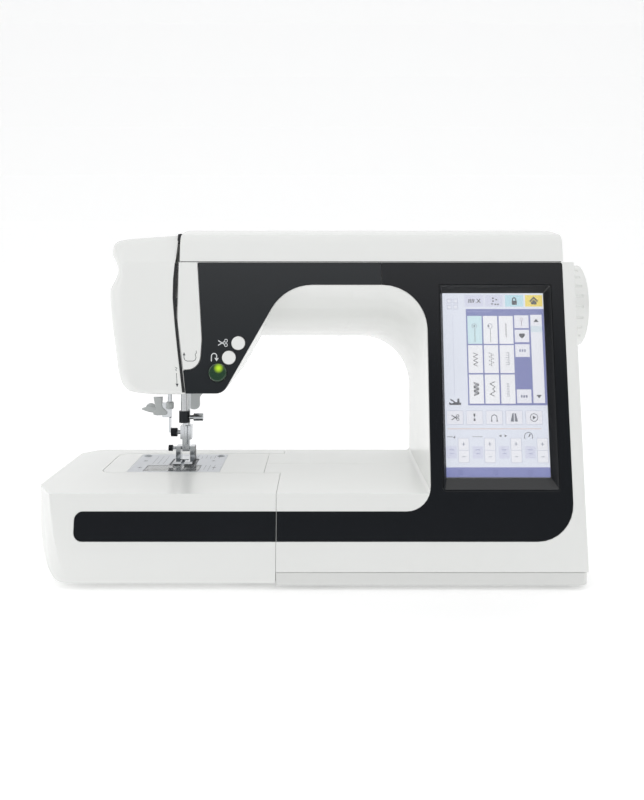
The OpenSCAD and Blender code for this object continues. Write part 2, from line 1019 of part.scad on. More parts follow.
// ---- Cast frames and bearings ----

module bed_frame() {
    color([0.62, 0.63, 0.65])
        difference() {
            union() {
                block(-188, tongue_x, 0, 66, 16, frame_z);
                block(tongue_x, -20, 0, 66, 16, frame_z);
                block(-30, 200, 0, 80, 16, frame_z);
                for (x = [-112, 126]) {
                    block(x, x + 12, 24, 53, frame_z, 50);
                    block(x - 6, x, 30, 47, frame_z, 30);
                }
                rod_z(hook_x, hook_y, 16, 31, 9);
                block(93, 100, -30, 30, 16, 118);
            }
            for (x = [-112, 126])
                rod_x(x - 1, x + 13, lower_y, lower_z, 9.05);
            rod_z(hook_x, hook_y, 24, 32, 4 + fit);
            for (p = pan_screw_places)
                rod_z(p.x, p.y, 10, 24, 2.1);
            block(belt_x - 10, belt_x + 10, 16, 62, 10, 25);
        }
}

// Arm beam with the two bearing brackets of the main shaft, and its column
module arm_frame() {
    color([0.62, 0.63, 0.65])
        difference() {
            union() {
                block(-100, 200, 64, 76, 212, 238);
                for (x = [-100, 194])
                    block(x, x + 12, 20, 76, 212, 242);
                block(187, 197, 66, 80, frame_z, 212);
            }
            for (x = [-100, 194])
                rod_x(x - 1, x + 13, shaft_y, shaft_z, 11.05);
        }
}

// Bracket in the head that guides the needle bar and the presser bar
module head_bracket() {
    color([0.58, 0.59, 0.61])
        difference() {
            union() {
                block(-140, -100.2, 60, 66, 158, 250);
                for (z = bar_bush_z)
                    block(needle_x - 7, needle_x + 6.5, 27, 60, z, z + 8);
            }
            for (y = [needle_y, presser_y])
                rod_z(needle_x, y, 150, 260, 5.05);
            rod_y(lifter_x, 59, 67, lifter_z, 4 + fit);
        }
}

bar_bush_z = [158, 224];

module tube_x(x0, x1, y, z, r_out, r_in) {
    difference() {
        rod_x(x0, x1, y, z, r_out);
        rod_x(x0 - 1, x1 + 1, y, z, r_in);
    }
}

module tube_z(x, y, z0, z1, r_out, r_in) {
    difference() {
        rod_z(x, y, z0, z1, r_out);
        rod_z(x, y, z0 - 1, z1 + 1, r_in);
    }
}

// Sintered bronze bushes of the two shafts and of the two bars in the head
module bearing_bushes() {
    color([0.70, 0.55, 0.30]) {
        for (x = [-100, 194])
            tube_x(x, x + 12, shaft_y, shaft_z, 11, shaft_r + fit);
        for (x = [-112, 126])
            tube_x(x, x + 12, lower_y, lower_z, 9, 5 + fit);
        for (y = [needle_y, presser_y], z = bar_bush_z)
            tube_z(needle_x, y, z - 0.5, z + 8.5, 5, 3.5 + fit);
    }
}

// ---- Drive train ----

// Main shaft with its crank disc, timing pulley and drive pulley
module main_shaft() {
    color([0.66, 0.67, 0.69]) {
        rod_x(-112, 224, shaft_y, shaft_z, shaft_r);
        rod_x(-119, -112, shaft_y, shaft_z, 17);
        rod_x(-119.8, -119, shaft_y, shaft_z + needle_stroke / 2, 3);
    }
    color([0.2, 0.2, 0.21]) {
        pulley(belt_x, shaft_y, shaft_z, timing_r);
        pulley(drive_x, shaft_y, shaft_z, drive_r);
    }
}

// Flanged pulley on X, solid to its shaft
module pulley(x, y, z, r) {
    rod_x(x - belt_w / 2 - 0.5, x + belt_w / 2 + 0.5, y, z, r);
    rod_x(x - belt_w / 2 - 1.7, x - belt_w / 2 - 0.5, y, z, r + 2);
    rod_x(x + belt_w / 2 + 0.5, x + belt_w / 2 + 1.7, y, z, r + 2);
}

// Handwheel: dished wheel with a grip rim
module handwheel() {
    color([0.89, 0.89, 0.88])
        difference() {
            union() {
                rod_x(222, 244, shaft_y, shaft_z, wheel_r);
                rod_x(218, 222, shaft_y, shaft_z, 14);
            }
            rod_x(241.5, 246, shaft_y, shaft_z, wheel_r - 8);
            rod_x(217, 224, shaft_y, shaft_z, shaft_r);
            for (k = [0:23])
                translate([221, shaft_y, shaft_z])
                    rotate([15 * k, 0, 0])
                        translate([0, 0, wheel_r + 0.9])
                            rotate([0, 90, 0])
                                cylinder(r = 1.7, h = 18);
        }
}

module lower_shaft() {
    color([0.66, 0.67, 0.69]) {
        rod_x(-137, 158, lower_y, lower_z, 5);
        translate([hook_x - 4, lower_y, lower_z])
            rotate([0, 90, 0])
                toothed(32, 16, 1.6, 8);
    }
    color([0.2, 0.2, 0.21])
        pulley(belt_x, lower_y, lower_z, timing_r);
}

// Belt band around two pulleys
module belt(x, a, r_a, b, r_b) {
    along_x(x - belt_w / 2, x + belt_w / 2)
        difference() {
            polygon(belt_loop(a, r_a + 0.2 + belt_t, b, r_b + 0.2 + belt_t));
            polygon(belt_loop(a, r_a + 0.2, b, r_b + 0.2));
        }
}

module timing_belt() {
    color([0.12, 0.12, 0.13])
        belt(belt_x, [shaft_y, shaft_z], timing_r, [lower_y, lower_z], timing_r);
}

module drive_belt() {
    color([0.12, 0.12, 0.13])
        belt(drive_x, [shaft_y, shaft_z], drive_r, [motor_y, motor_z], motor_r);
}

module motor() {
    color([0.30, 0.31, 0.33])
        difference() {
            union() {
                rod_x(102, 138, motor_y, motor_z, 21);
                rod_x(138, 140, motor_y, motor_z, 24);
                block(100, 102, -22, 22, 114, 162);
            }
            rod_x(120, 141, motor_y, motor_z, 2.5 + fit);
        }
}

module motor_pulley() {
    color([0.66, 0.67, 0.69])
        rod_x(121, 186, motor_y, motor_z, 2.5);
    color([0.2, 0.2, 0.21])
        pulley(drive_x, motor_y, motor_z, motor_r);
}

// ---- Needle bar, take-up and presser ----

// Bar with the block and the link that the crank drives
module needle_bar() {
    color([0.60, 0.61, 0.63]) {
        rod_z(needle_x, needle_y, 116, 268, 3.5);
        block(needle_x - 6, needle_x + 5, 31, 39, 200, 212);
        rod_x(needle_x + 5, -120.3, needle_y, 206, 3);
        block(-123, -120.3, needle_y - 3, needle_y + 3, 206, 241);
        rod_x(-123, -120.3, needle_y, 241, 5);
    }
}

module needle_clamp() {
    color([0.70, 0.71, 0.73]) {
        difference() {
            rod_z(needle_x, needle_y, 113, 124, 5.2);
            rod_z(needle_x, needle_y, 116, 125, 3.5);
        }
        rod_x(needle_x + 4, needle_x + 9, needle_y, 118, 2);
        rod_x(needle_x + 9, needle_x + 18, needle_y, 118, 3.6);
    }
}

module needle() {
    color([0.75, 0.76, 0.78]) {
        rod_z(needle_x, needle_y - 0.4, 109, 113, 1.1);
        rod_z(needle_x, needle_y - 0.4, 91, 109, 0.55);
        translate([needle_x, needle_y - 0.4, 88])
            cylinder(r1 = 0.1, r2 = 0.55, h = 3);
    }
}

take_up_y = 5;
take_up_z = 205;
take_up_reach = 52;

module take_up_lever() {
    color([0.72, 0.73, 0.75])
        difference() {
            union() {
                rod_x(-118, -115, take_up_y, take_up_z, 6);
                translate([-118, take_up_y, take_up_z])
                    rotate([-45, 0, 0])
                        block(0, 2.4, -take_up_reach, 0, -3, 3);
                translate([-118, take_up_y, take_up_z])
                    rotate([-45, 0, 0])
                        translate([0, -take_up_reach, 0])
                            rotate([0, 90, 0])
                                cylinder(r = 4.5, h = 2.4);
            }
            translate([-119, take_up_y, take_up_z])
                rotate([-45, 0, 0])
                    translate([0, -take_up_reach, 0])
                        rotate([0, 90, 0])
                            cylinder(r = 1.6, h = 5);
        }
}

// Tension discs on their stud
module tension_unit() {
    color([0.72, 0.73, 0.75]) {
        rod_x(-112, -97, -30, 246, 2.5);
        for (x = [-109, -105.5, -102])
            rod_x(x, x + 1.2, -30, 246, 11);
    }
}

module presser_bar() {
    color([0.66, 0.67, 0.69]) {
        rod_z(needle_x, presser_y, 95, 246, 3.5);
        block(needle_x - 6, needle_x + 6, 44.5, 54, 182, 192);
    }
    color([0.70, 0.71, 0.73]) {
        block(needle_x - 5.5, needle_x + 5.5, 43.5, 55, 95, 108);
        rod_x(needle_x - 9, needle_x - 5.5, presser_y, 101, 2);
        rod_x(needle_x - 15, needle_x - 9, presser_y, 101, 4.2);
        difference() {
            block(needle_x - 3.5, needle_x + 3.5, 43.5, 50, 83.5, 95);
            rod_x(needle_x - 5, needle_x + 5, 46.5, 86.2, 1.55);
        }
    }
}

// Zigzag foot: sole with an upturned toe, hung on a cross pin
module presser_foot() {
    color([0.72, 0.73, 0.75])
        difference() {
            union() {
                block(needle_x - 9, needle_x + 9, 25, 52, bed_h, bed_h + 2.2);
                translate([0, 25, bed_h])
                    rotate([-20, 0, 0])
                        block(needle_x - 9, needle_x + 9, -2, 0, 0, 2.2);
                for (x = [needle_x - 9, needle_x + 4.5])
                    block(x, x + 4.5, 40, 50, bed_h + 2, 89);
                rod_x(needle_x - 14, needle_x + 9, 46.5, 86.2, 1.5);
                rod_x(needle_x - 17, needle_x - 13, 46.5, 86.2, 3);
            }
            block(needle_x - 4, needle_x + 4, 33, 37, 70, 80);
            block(needle_x - 1.5, needle_x + 1.5, 20, 34, 70, 80);
        }
}

// Lever behind the head that raises the presser bar as its paddle swings up to the right
lifter_x = -112;
lifter_z = 172;

module lifter_slot() {
    block(lifter_x - 8, lifter_x + 28, 76, 90, head_z - 1, head_z + wall + 1);
}

module presser_lifter() {
    color([0.85, 0.85, 0.84]) {
        rod_y(lifter_x, 60.5, 85, lifter_z, 4);
        rod_y(lifter_x, 79, 85, lifter_z, 6);
        along_y(80, 84.5)
            polygon(rounded([
                [lifter_x - 3.5, lifter_z, 0],
                [lifter_x - 3.5, 149, 6],
                [lifter_x - 22, 134, 5],
                [lifter_x - 22, 118, 5],
                [lifter_x - 10.9, 118, 5],
                [lifter_x - 10.9, 131, 4],
                [lifter_x + 3.5, 145, 6],
                [lifter_x + 3.5, lifter_z, 0]
            ]));
    }
}

// Needle threader: guide plate and finger tab that pull straight down
module threader() {
    color([0.62, 0.63, 0.65]) {
        rod_z(needle_x - 14, needle_y, 128, 160, 2);
        block(-152, -143, 33, 37, 118, 132);
        block(-168, -152, 34, 36, 122, 134);
        rod_z(-170, needle_y, 126, 133, 4);
        block(-145, -143.4, 30, 37, 104, 118);
    }
}

base_pan();
rubber_feet();
front_casing();
rear_casing();
cover_screws();
free_arm_cover();
pillar_fascia();
arm_fascia();
thread_guide_strip();
screen_bezel();
screen_glass();
display_panel();
main_board();
face_cover();
thread_cutter();
sewing_lamp();
top_lid();
pivot_pins();
spool_deck();
spool_pin();
spool_cap();
winder_carriage();
winder_spindle();
winder_stop();
carry_handle();
cutter_button();
reverse_button();
start_button();
power_inlet();
power_switch();
accessory_table();
table_stripe();
table_feet();
needle_plate();
plate_screws();
bobbin_cover();
bobbin_case();
bobbin();
rotary_hook();
feed_dog();
bed_frame();
arm_frame();
head_bracket();
bearing_bushes();
main_shaft();
handwheel();
lower_shaft();
timing_belt();
drive_belt();
motor();
motor_pulley();
tension_unit();
needle_bar();
needle_clamp();
needle();
take_up_lever();
presser_bar();
presser_foot();
presser_lifter();
threader();
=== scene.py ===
import json
import math

import bmesh
import bpy
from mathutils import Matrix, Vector

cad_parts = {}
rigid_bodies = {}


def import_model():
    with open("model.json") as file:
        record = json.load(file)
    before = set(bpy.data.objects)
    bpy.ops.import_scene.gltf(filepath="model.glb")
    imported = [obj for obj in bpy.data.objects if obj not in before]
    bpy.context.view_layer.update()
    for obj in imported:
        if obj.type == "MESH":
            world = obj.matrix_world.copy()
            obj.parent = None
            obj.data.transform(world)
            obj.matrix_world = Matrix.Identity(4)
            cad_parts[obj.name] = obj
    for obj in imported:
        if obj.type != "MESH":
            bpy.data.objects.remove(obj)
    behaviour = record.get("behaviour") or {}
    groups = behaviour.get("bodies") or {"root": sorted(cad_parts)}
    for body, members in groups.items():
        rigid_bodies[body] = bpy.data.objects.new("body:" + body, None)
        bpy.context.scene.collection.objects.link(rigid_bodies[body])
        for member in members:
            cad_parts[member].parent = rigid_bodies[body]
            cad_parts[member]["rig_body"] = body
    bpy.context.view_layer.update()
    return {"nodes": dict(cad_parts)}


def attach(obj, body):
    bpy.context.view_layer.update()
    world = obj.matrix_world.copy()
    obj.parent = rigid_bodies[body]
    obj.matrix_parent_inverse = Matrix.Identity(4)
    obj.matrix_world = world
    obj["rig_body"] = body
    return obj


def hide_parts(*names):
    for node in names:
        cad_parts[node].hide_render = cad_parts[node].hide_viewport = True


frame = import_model()

# ---- Camera, floor and studio light ----
# The camera stands level in front of the machine, 0.78 m from its middle and as high as the
# lower edge of the lid. The studio is a pale floor, a white wall behind and soft lights.

camera_distance, eye_height = 0.7816, 0.2567
scene = bpy.context.scene
camera = bpy.data.objects.new("camera", bpy.data.cameras.new("camera"))
scene.collection.objects.link(camera)
camera.location = (0, -camera_distance, eye_height)
camera.rotation_euler = (math.radians(90), 0, 0)
camera.data.lens = 38.43
camera.data.sensor_width = 36
camera.data.shift_x = 0.0006
camera.data.shift_y = -0.16
camera.data.clip_start = 0.01
scene.camera = camera
scene.view_settings.view_transform = "Standard"


def linear(shade):
    """Linear colour, with alpha 1, of an sRGB hex value such as #F0F1EF."""
    parts = [int(shade[i:i + 2], 16) / 255 for i in (1, 3, 5)]
    return [c / 12.92 if c <= 0.04045 else ((c + 0.055) / 1.055) ** 2.4 for c in parts] + [1.0]


def add(tree, kind, settings={}, links={}):
    """A new node in a tree, with its settings by name or socket number, and its incoming links."""
    made = tree.nodes.new(kind)
    for name, value in settings.items():
        if isinstance(name, int) or name in made.inputs:
            made.inputs[name].default_value = value
        else:
            setattr(made, name, value)
    for name, source in links.items():
        tree.links.new(source, made.inputs[name])
    return made


def new_finish(name):
    """A new material, with its node tree and its shader."""
    finish = bpy.data.materials.new(name)
    finish.use_nodes = True
    return finish, finish.node_tree, finish.node_tree.nodes["Principled BSDF"]


def new_piece(name, shape, finish=None):
    """A new object in the scene, from a mesh or from a bmesh, which is then freed."""
    mesh = shape
    if isinstance(shape, bmesh.types.BMesh):
        mesh = bpy.data.meshes.new(name)
        shape.to_mesh(mesh)
        shape.free()
    if finish:
        mesh.materials.append(finish)
    piece = bpy.data.objects.new(name, mesh)
    scene.collection.objects.link(piece)
    return piece


def soft_light(name, place, target, width, height, watts):
    """A white softbox: sizes in metres, pointed at its target."""
    lamp = bpy.data.lights.new(name, "AREA")
    lamp.shape = "RECTANGLE"
    lamp.size, lamp.size_y, lamp.energy = width, height, watts
    stand = bpy.data.objects.new(name, lamp)
    scene.collection.objects.link(stand)
    stand.location = place
    stand.rotation_euler = (Vector(target) - Vector(place)).to_track_quat("-Z", "Y").to_euler()


soft_light("overhead_softbox", (0, -0.15, 1.5), (0, 0, 0.1), 1.8, 1.4, 2)
soft_light("left_softbox", (-1.3, -1.0, 1.0), (-0.05, 0, 0.15), 1.0, 1.2, 3)
soft_light("right_softbox", (1.5, -0.9, 0.9), (0.05, 0, 0.15), 0.9, 1.2, 1.5)

# The room: white behind the machine and overhead, darker on the side it faces.
room = bpy.data.worlds.new("room")
room.use_nodes = True
scene.world = room
sky = room.node_tree
heading = add(sky, "ShaderNodeSeparateXYZ", links={
    "Vector": add(sky, "ShaderNodeTexCoord").outputs["Generated"]})
ahead = add(sky, "ShaderNodeMapRange", {
    "interpolation_type": "SMOOTHSTEP", "From Min": -0.95, "From Max": -0.2,
    "To Min": 0.0, "To Max": 1.0}, {"Value": heading.outputs["Y"]})
above = add(sky, "ShaderNodeMapRange", {
    "interpolation_type": "SMOOTHSTEP", "From Min": 0.16, "From Max": 0.42,
    "To Min": 0.0, "To Max": 1.0}, {"Value": heading.outputs["Z"]})
open_sky = add(sky, "ShaderNodeMath", {"operation": "MAXIMUM"}, {
    0: ahead.outputs["Result"], 1: above.outputs["Result"]})
walls = add(sky, "ShaderNodeMix", {"data_type": "RGBA", 6: linear("#7F8386"), 7: linear("#FFFFFF")}, {
    0: open_sky.outputs[0]})
background = sky.nodes["Background"]
sky.links.new(walls.outputs[2], background.inputs["Color"])
background.inputs["Strength"].default_value = 0.84

# One sheet of paper lies on the floor and curves up behind the machine
floor_half_width, floor_front, sweep_start, sweep_radius, sweep_top = 6, -4.0, 1.2, 1.5, 4.0
sweep = [(floor_front, 0.0), (sweep_start, 0.0)]
for k in range(1, 11):
    bend = math.radians(9 * k)
    sweep.append((sweep_start + sweep_radius * math.sin(bend), sweep_radius - sweep_radius * math.cos(bend)))
sweep.append((sweep_start + sweep_radius, sweep_top))
floor_mesh = bpy.data.meshes.new("studio_floor")
floor_mesh.from_pydata([(x, y, z) for y, z in sweep for x in (-floor_half_width, floor_half_width)], [],
                       [(2 * k, 2 * k + 1, 2 * k + 3, 2 * k + 2) for k in range(len(sweep) - 1)])
paper, tree, shader = new_finish("white_backdrop_paper")
fibres = add(tree, "ShaderNodeTexNoise", {"Scale": 900, "Detail": 3}, {
    "Vector": add(tree, "ShaderNodeTexCoord").outputs["Object"]})
for socket, value in (("Base Color", linear("#FAFAFA")), ("Roughness", 0.9),
                      ("Emission Color", linear("#FFFFFF")), ("Emission Strength", 0.22)):
    shader.inputs[socket].default_value = value
tree.links.new(add(tree, "ShaderNodeBump", {"Strength": 0.1, "Distance": 0.0001}, {
    "Height": fibres.outputs["Fac"]}).outputs["Normal"], shader.inputs["Normal"])
floor = new_piece("studio_floor", floor_mesh, paper)


# ---- Cast frames ----
# The bed frame, the arm beam and the head bracket carry every shaft. They are aluminium die
# castings, left as cast apart from the bored bearing seats, and sit hidden inside the covers.

def cast_metal(name, shade, roughness, grain_mm):
    """Die-cast skin: dull, with a fine pebble left by the die and faint grey clouds."""
    finish, tree, shader = new_finish(name)
    place = add(tree, "ShaderNodeTexCoord").outputs["Object"]
    clouds = add(tree, "ShaderNodeTexNoise", {"Scale": 40, "Detail": 4}, {"Vector": place})
    pebble = add(tree, "ShaderNodeTexNoise", {"Scale": 1000 / grain_mm, "Detail": 3}, {"Vector": place})
    darker = [c * 0.8 for c in linear(shade)[:3]] + [1]
    tone = add(tree, "ShaderNodeMix", {"data_type": "RGBA", 6: darker, 7: linear(shade)}, {
        0: clouds.outputs["Fac"]})
    dull = add(tree, "ShaderNodeMapRange", {"To Min": roughness - 0.08, "To Max": roughness + 0.08}, {
        "Value": clouds.outputs["Fac"]})
    bump = add(tree, "ShaderNodeBump", {"Strength": 0.5, "Distance": 0.00015}, {
        "Height": pebble.outputs["Fac"]})
    shader.inputs["Metallic"].default_value = 1.0
    tree.links.new(tone.outputs[2], shader.inputs["Base Color"])
    tree.links.new(dull.outputs["Result"], shader.inputs["Roughness"])
    tree.links.new(bump.outputs["Normal"], shader.inputs["Normal"])
    return finish


def shaped_copy(node, name, finishes, edge_mm, steps=3, sharp=28, radius=None, choose=None, keep=None):
    """A copy of a CAD shape with its triangles joined into whole faces and its edges rounded.
    radius(middle of an edge) may give one edge its own radius in millimetres, choose(middle of
    a face, its normal) picks one of the finishes, and keep(middle, normal) may leave a face out."""
    source = frame["nodes"][node]
    work = bmesh.new()
    work.from_mesh(source.data)
    bmesh.ops.remove_doubles(work, verts=work.verts, dist=0.00001)
    bmesh.ops.dissolve_limit(work, angle_limit=math.radians(0.8), verts=work.verts, edges=work.edges)
    if keep:
        lost = [f for f in work.faces if not keep(f.calc_center_median(), f.normal)]
        bmesh.ops.delete(work, geom=lost, context="FACES")
    for face in work.faces:
        face.smooth = True
        face.material_index = choose(face.calc_center_median(), face.normal) if choose else 0
    weights = work.edges.layers.float.new("bevel_weight_edge")
    widest = edge_mm
    wanted = {}
    for edge in work.edges:
        if len(edge.link_faces) == 2 and edge.calc_face_angle(0) > math.radians(sharp):
            size = edge_mm
            if radius:
                size = radius((edge.verts[0].co + edge.verts[1].co) / 2) or edge_mm
            wanted[edge] = size
            widest = max(widest, size)
    for edge, size in wanted.items():
        edge[weights] = size / widest
        edge.smooth = False
    piece = new_piece(name, work)
    if "custom_normal" in piece.data.attributes:
        piece.data.attributes.remove(piece.data.attributes["custom_normal"])
    rounding = piece.modifiers.new("rounded_edges", "BEVEL")
    rounding.limit_method = "WEIGHT"
    rounding.width = widest / 1000
    rounding.segments = steps
    rounding.use_clamp_overlap = True
    rounding.harden_normals = True
    settle(piece)
    for finish in finishes:
        piece.data.materials.append(finish)
    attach(piece, source["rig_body"])
    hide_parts(node)
    return piece


def settle(piece):
    """Turns a piece with live modifiers into one plain mesh."""
    graph = bpy.context.evaluated_depsgraph_get()
    final = bpy.data.meshes.new_from_object(piece.evaluated_get(graph), depsgraph=graph)
    piece.modifiers.clear()
    piece.data = final
    final.name = piece.name


as_cast = cast_metal("die_cast_aluminium", "#A9ABAE", 0.5, 0.9)
for node in ("bed_frame", "arm_frame", "head_bracket"):
    shaped_copy(node, node + "_casting", [as_cast], 1.0, 2)


# ---- Bushes and shafts ----
# Each shaft turns in sintered bronze bushes pressed into the castings. The shafts are ground
# steel bar; the pulleys on them are moulded in black glass-filled nylon with pressed flanges.

def turned_metal(name, shade, roughness, line_mm, stretch, metallic=1.0):
    """Machined metal: fine tool lines across one direction, given by how far each axis is stretched."""
    finish, tree, shader = new_finish(name)
    place = add(tree, "ShaderNodeMapping", {"Scale": stretch}, {
        "Vector": add(tree, "ShaderNodeTexCoord").outputs["Object"]})
    lines = add(tree, "ShaderNodeTexNoise", {"Scale": 1000 / line_mm, "Detail": 2}, {
        "Vector": place.outputs["Vector"]})
    gloss = add(tree, "ShaderNodeMapRange", {"To Min": roughness * 0.7, "To Max": roughness * 1.3}, {
        "Value": lines.outputs["Fac"]})
    bump = add(tree, "ShaderNodeBump", {"Strength": 0.25, "Distance": 0.00002}, {
        "Height": lines.outputs["Fac"]})
    darker = [c * 0.85 for c in linear(shade)[:3]] + [1]
    tone = add(tree, "ShaderNodeMix", {"data_type": "RGBA", 6: darker, 7: linear(shade)}, {
        0: lines.outputs["Fac"]})
    shader.inputs["Metallic"].default_value = metallic
    tree.links.new(tone.outputs[2], shader.inputs["Base Color"])
    tree.links.new(gloss.outputs["Result"], shader.inputs["Roughness"])
    tree.links.new(bump.outputs["Normal"], shader.inputs["Normal"])
    return finish


def moulded_plastic(name, shade, roughness, grain_mm, depth_mm, drift=0.97, gloss_drift=0.04):
    """Injection-moulded plastic: an even colour that drifts a little over 50 mm, gloss that varies
    with it, and the fine grain of the mould's skin."""
    finish, tree, shader = new_finish(name)
    place = add(tree, "ShaderNodeTexCoord").outputs["Object"]
    slow = add(tree, "ShaderNodeTexNoise", {"Scale": 20, "Detail": 2}, {"Vector": place})
    grain = add(tree, "ShaderNodeTexNoise", {"Scale": 1000 / grain_mm, "Detail": 2}, {"Vector": place})
    darker = [c * drift for c in linear(shade)[:3]] + [1]
    tone = add(tree, "ShaderNodeMix", {"data_type": "RGBA", 6: darker, 7: linear(shade)}, {
        0: slow.outputs["Fac"]})
    gloss = add(tree, "ShaderNodeMapRange", {
        "To Min": roughness - gloss_drift, "To Max": roughness + gloss_drift}, {
        "Value": slow.outputs["Fac"]})
    bump = add(tree, "ShaderNodeBump", {"Strength": 0.3, "Distance": depth_mm / 1000}, {
        "Height": grain.outputs["Fac"]})
    shader.inputs["IOR"].default_value = 1.53
    tree.links.new(tone.outputs[2], shader.inputs["Base Color"])
    tree.links.new(gloss.outputs["Result"], shader.inputs["Roughness"])
    tree.links.new(bump.outputs["Normal"], shader.inputs["Normal"])
    return finish


sintered_bronze = cast_metal("sintered_bronze", "#B98E54", 0.42, 0.5)
ground_steel = turned_metal("ground_steel", "#BFC1C4", 0.24, 0.5, (0.25, 1, 1))
upright_steel = turned_metal("ground_steel_upright", "#C2C4C6", 0.2, 0.5, (1, 1, 0.25))
black_nylon = moulded_plastic("black_glass_filled_nylon", "#232426", 0.5, 0.6, 0.02)

frame["nodes"]["bearing_bushes"].material_slots[0].material = sintered_bronze


shaft_reach = 0.0055  # further from the axis than any bare shaft


def steel_or_pulley(axis_y, axis_z, spans):
    """Finish number of a shaft's face: 1 on a pulley, within the given X ranges, 0 elsewhere."""
    def pick(middle, normal):
        off = math.hypot(middle.y - axis_y, middle.z - axis_z)
        on_pulley = any(a <= middle.x <= b for a, b in spans)
        return 1 if on_pulley and off > shaft_reach else 0
    return pick


shaped_copy("main_shaft", "main_shaft_assembly", [ground_steel, black_nylon], 0.4, 2,
            choose=steel_or_pulley(0.035, 0.225, [(0.144, 0.156), (0.174, 0.186)]))
shaped_copy("lower_shaft", "lower_shaft_assembly", [ground_steel, black_nylon], 0.3, 2,
            choose=steel_or_pulley(0.0386, 0.038, [(0.144, 0.156)]))
shaped_copy("motor_pulley", "motor_pulley_assembly", [ground_steel, black_nylon], 0.2, 2,
            choose=steel_or_pulley(0.0, 0.14, [(0.174, 0.186)]))


# ---- Belts ----
# The timing belt joins the main and lower shafts, and the drive belt runs down to the motor.
# Both are black neoprene with moulded cross ribs that show as fine bands.

def ribbed_rubber(name, shade, rib_mm):
    """Moulded rubber with cross ribs and a little dust."""
    wave_per_metre = 3.14  # a wave texture of scale 1 repeats about this often in one metre
    finish, tree, shader = new_finish(name)
    place = add(tree, "ShaderNodeTexCoord").outputs["Object"]
    ribs = add(tree, "ShaderNodeTexWave", {"Scale": 1000 / rib_mm / wave_per_metre, "bands_direction": "Z"}, {
        "Vector": place})
    dust = add(tree, "ShaderNodeTexNoise", {"Scale": 300, "Detail": 4}, {"Vector": place})
    tone = add(tree, "ShaderNodeMix", {"data_type": "RGBA", 6: linear(shade), 7: linear("#3A3A3B")}, {
        0: dust.outputs["Fac"]})
    bump = add(tree, "ShaderNodeBump", {"Strength": 0.6, "Distance": 0.0004}, {
        "Height": ribs.outputs["Fac"]})
    shader.inputs["Roughness"].default_value = 0.75
    shader.inputs["IOR"].default_value = 1.52
    tree.links.new(tone.outputs[2], shader.inputs["Base Color"])
    tree.links.new(bump.outputs["Normal"], shader.inputs["Normal"])
    return finish


neoprene = ribbed_rubber("black_neoprene", "#1C1C1D", 3)
for node in ("timing_belt", "drive_belt"):
    frame["nodes"][node].material_slots[0].material = neoprene

# ---- Motor ----
# A small direct-current motor on a bracket inside the pillar. Its can is drawn steel, zinc
# plated and then painted dark grey.

painted_can = cast_metal("dark_painted_steel", "#5A5C60", 0.45, 0.8)
shaped_copy("motor", "drive_motor", [painted_can], 0.8)

# ---- Hook, bobbin case, bobbin and feed dog ----
# The rotary hook is hardened and polished steel, and its basket is black nylon. The bobbin is
# clear polycarbonate. The feed dog is a sintered steel block with rows of teeth.

shaped_copy("rotary_hook", "hook_and_gear", [upright_steel], 0.25, 2)
shaped_copy("bobbin_case", "bobbin_basket", [black_nylon], 0.3, 2)
shaped_copy("feed_dog", "feed_dog_teeth", [ground_steel], 0.1, 1)


def clear_plastic(name, shade, roughness, ior):
    """Clear moulded plastic with a faint flow pattern in its surface."""
    finish, tree, shader = new_finish(name)
    flow = add(tree, "ShaderNodeTexNoise", {"Scale": 120, "Detail": 1}, {
        "Vector": add(tree, "ShaderNodeTexCoord").outputs["Object"]})
    gloss = add(tree, "ShaderNodeMapRange", {"To Min": roughness * 0.6, "To Max": roughness * 1.4}, {
        "Value": flow.outputs["Fac"]})
    bump = add(tree, "ShaderNodeBump", {"Strength": 0.15, "Distance": 0.0002}, {
        "Height": flow.outputs["Fac"]})
    shader.inputs["Base Color"].default_value = linear(shade)
    shader.inputs["Transmission Weight"].default_value = 0.9
    shader.inputs["IOR"].default_value = ior
    tree.links.new(gloss.outputs["Result"], shader.inputs["Roughness"])
    tree.links.new(bump.outputs["Normal"], shader.inputs["Normal"])
    return finish


polycarbonate = clear_plastic("clear_polycarbonate", "#F2F5F7", 0.08, 1.585)
shaped_copy("bobbin", "clear_bobbin", [polycarbonate], 0.15, 2)

# ---- Needle bar, take-up, tension and presser ----
# Ground and chromed steel bars slide in the head's bushes. The clamp, the presser holder and
# the foot are nickel-chromed castings; the take-up lever is polished plate.

chrome = turned_metal("chromed_steel", "#CDD0D3", 0.12, 1.2, (1, 1, 1))
shaped_copy("needle_bar", "needle_bar_and_link", [upright_steel], 0.25, 2)
shaped_copy("tension_unit", "tension_discs", [chrome], 0.15, 2)
shaped_copy("take_up_lever", "take_up_arm", [chrome], 0.3, 2)
shaped_copy("presser_lifter", "presser_lifting_lever", [moulded_plastic(
    "grey_white_acetal", "#D2D5D6", 0.35, 0.8, 0.01)], 0.8)
shaped_copy("needle", "sewing_needle", [chrome], 0.05, 1)

dark_grip = turned_metal("black_oxide_steel", "#35373A", 0.35, 0.4, (1, 1, 1))
shaped_copy("needle_clamp", "needle_clamp_and_screw", [chrome, dark_grip], 0.35, 2,
            choose=lambda middle, normal: 1 if middle.x < -0.1255 and middle.z > 0.1135 else 0)
shaped_copy("presser_bar", "presser_bar_and_holder", [chrome, dark_grip], 0.35, 2,
            choose=lambda middle, normal: 1 if middle.x < -0.1395 else 0)
shaped_copy("presser_foot", "zigzag_foot", [chrome, dark_grip], 0.3, 2,
            choose=lambda middle, normal: 1 if middle.x < -0.1435 or (
                middle.z < 0.079 and abs(middle.x + 0.131) > 0.0062 and middle.y < 0.04) else 0)

# ---- Needle threader ----
# The threader is a grey acetal lever on a steel rod, with a thin hook plate and a finger tab.
# It hangs left of the needle bar and is pulled down by hand.

grey_acetal = moulded_plastic("grey_acetal", "#C4C8C8", 0.38, 0.7, 0.01)


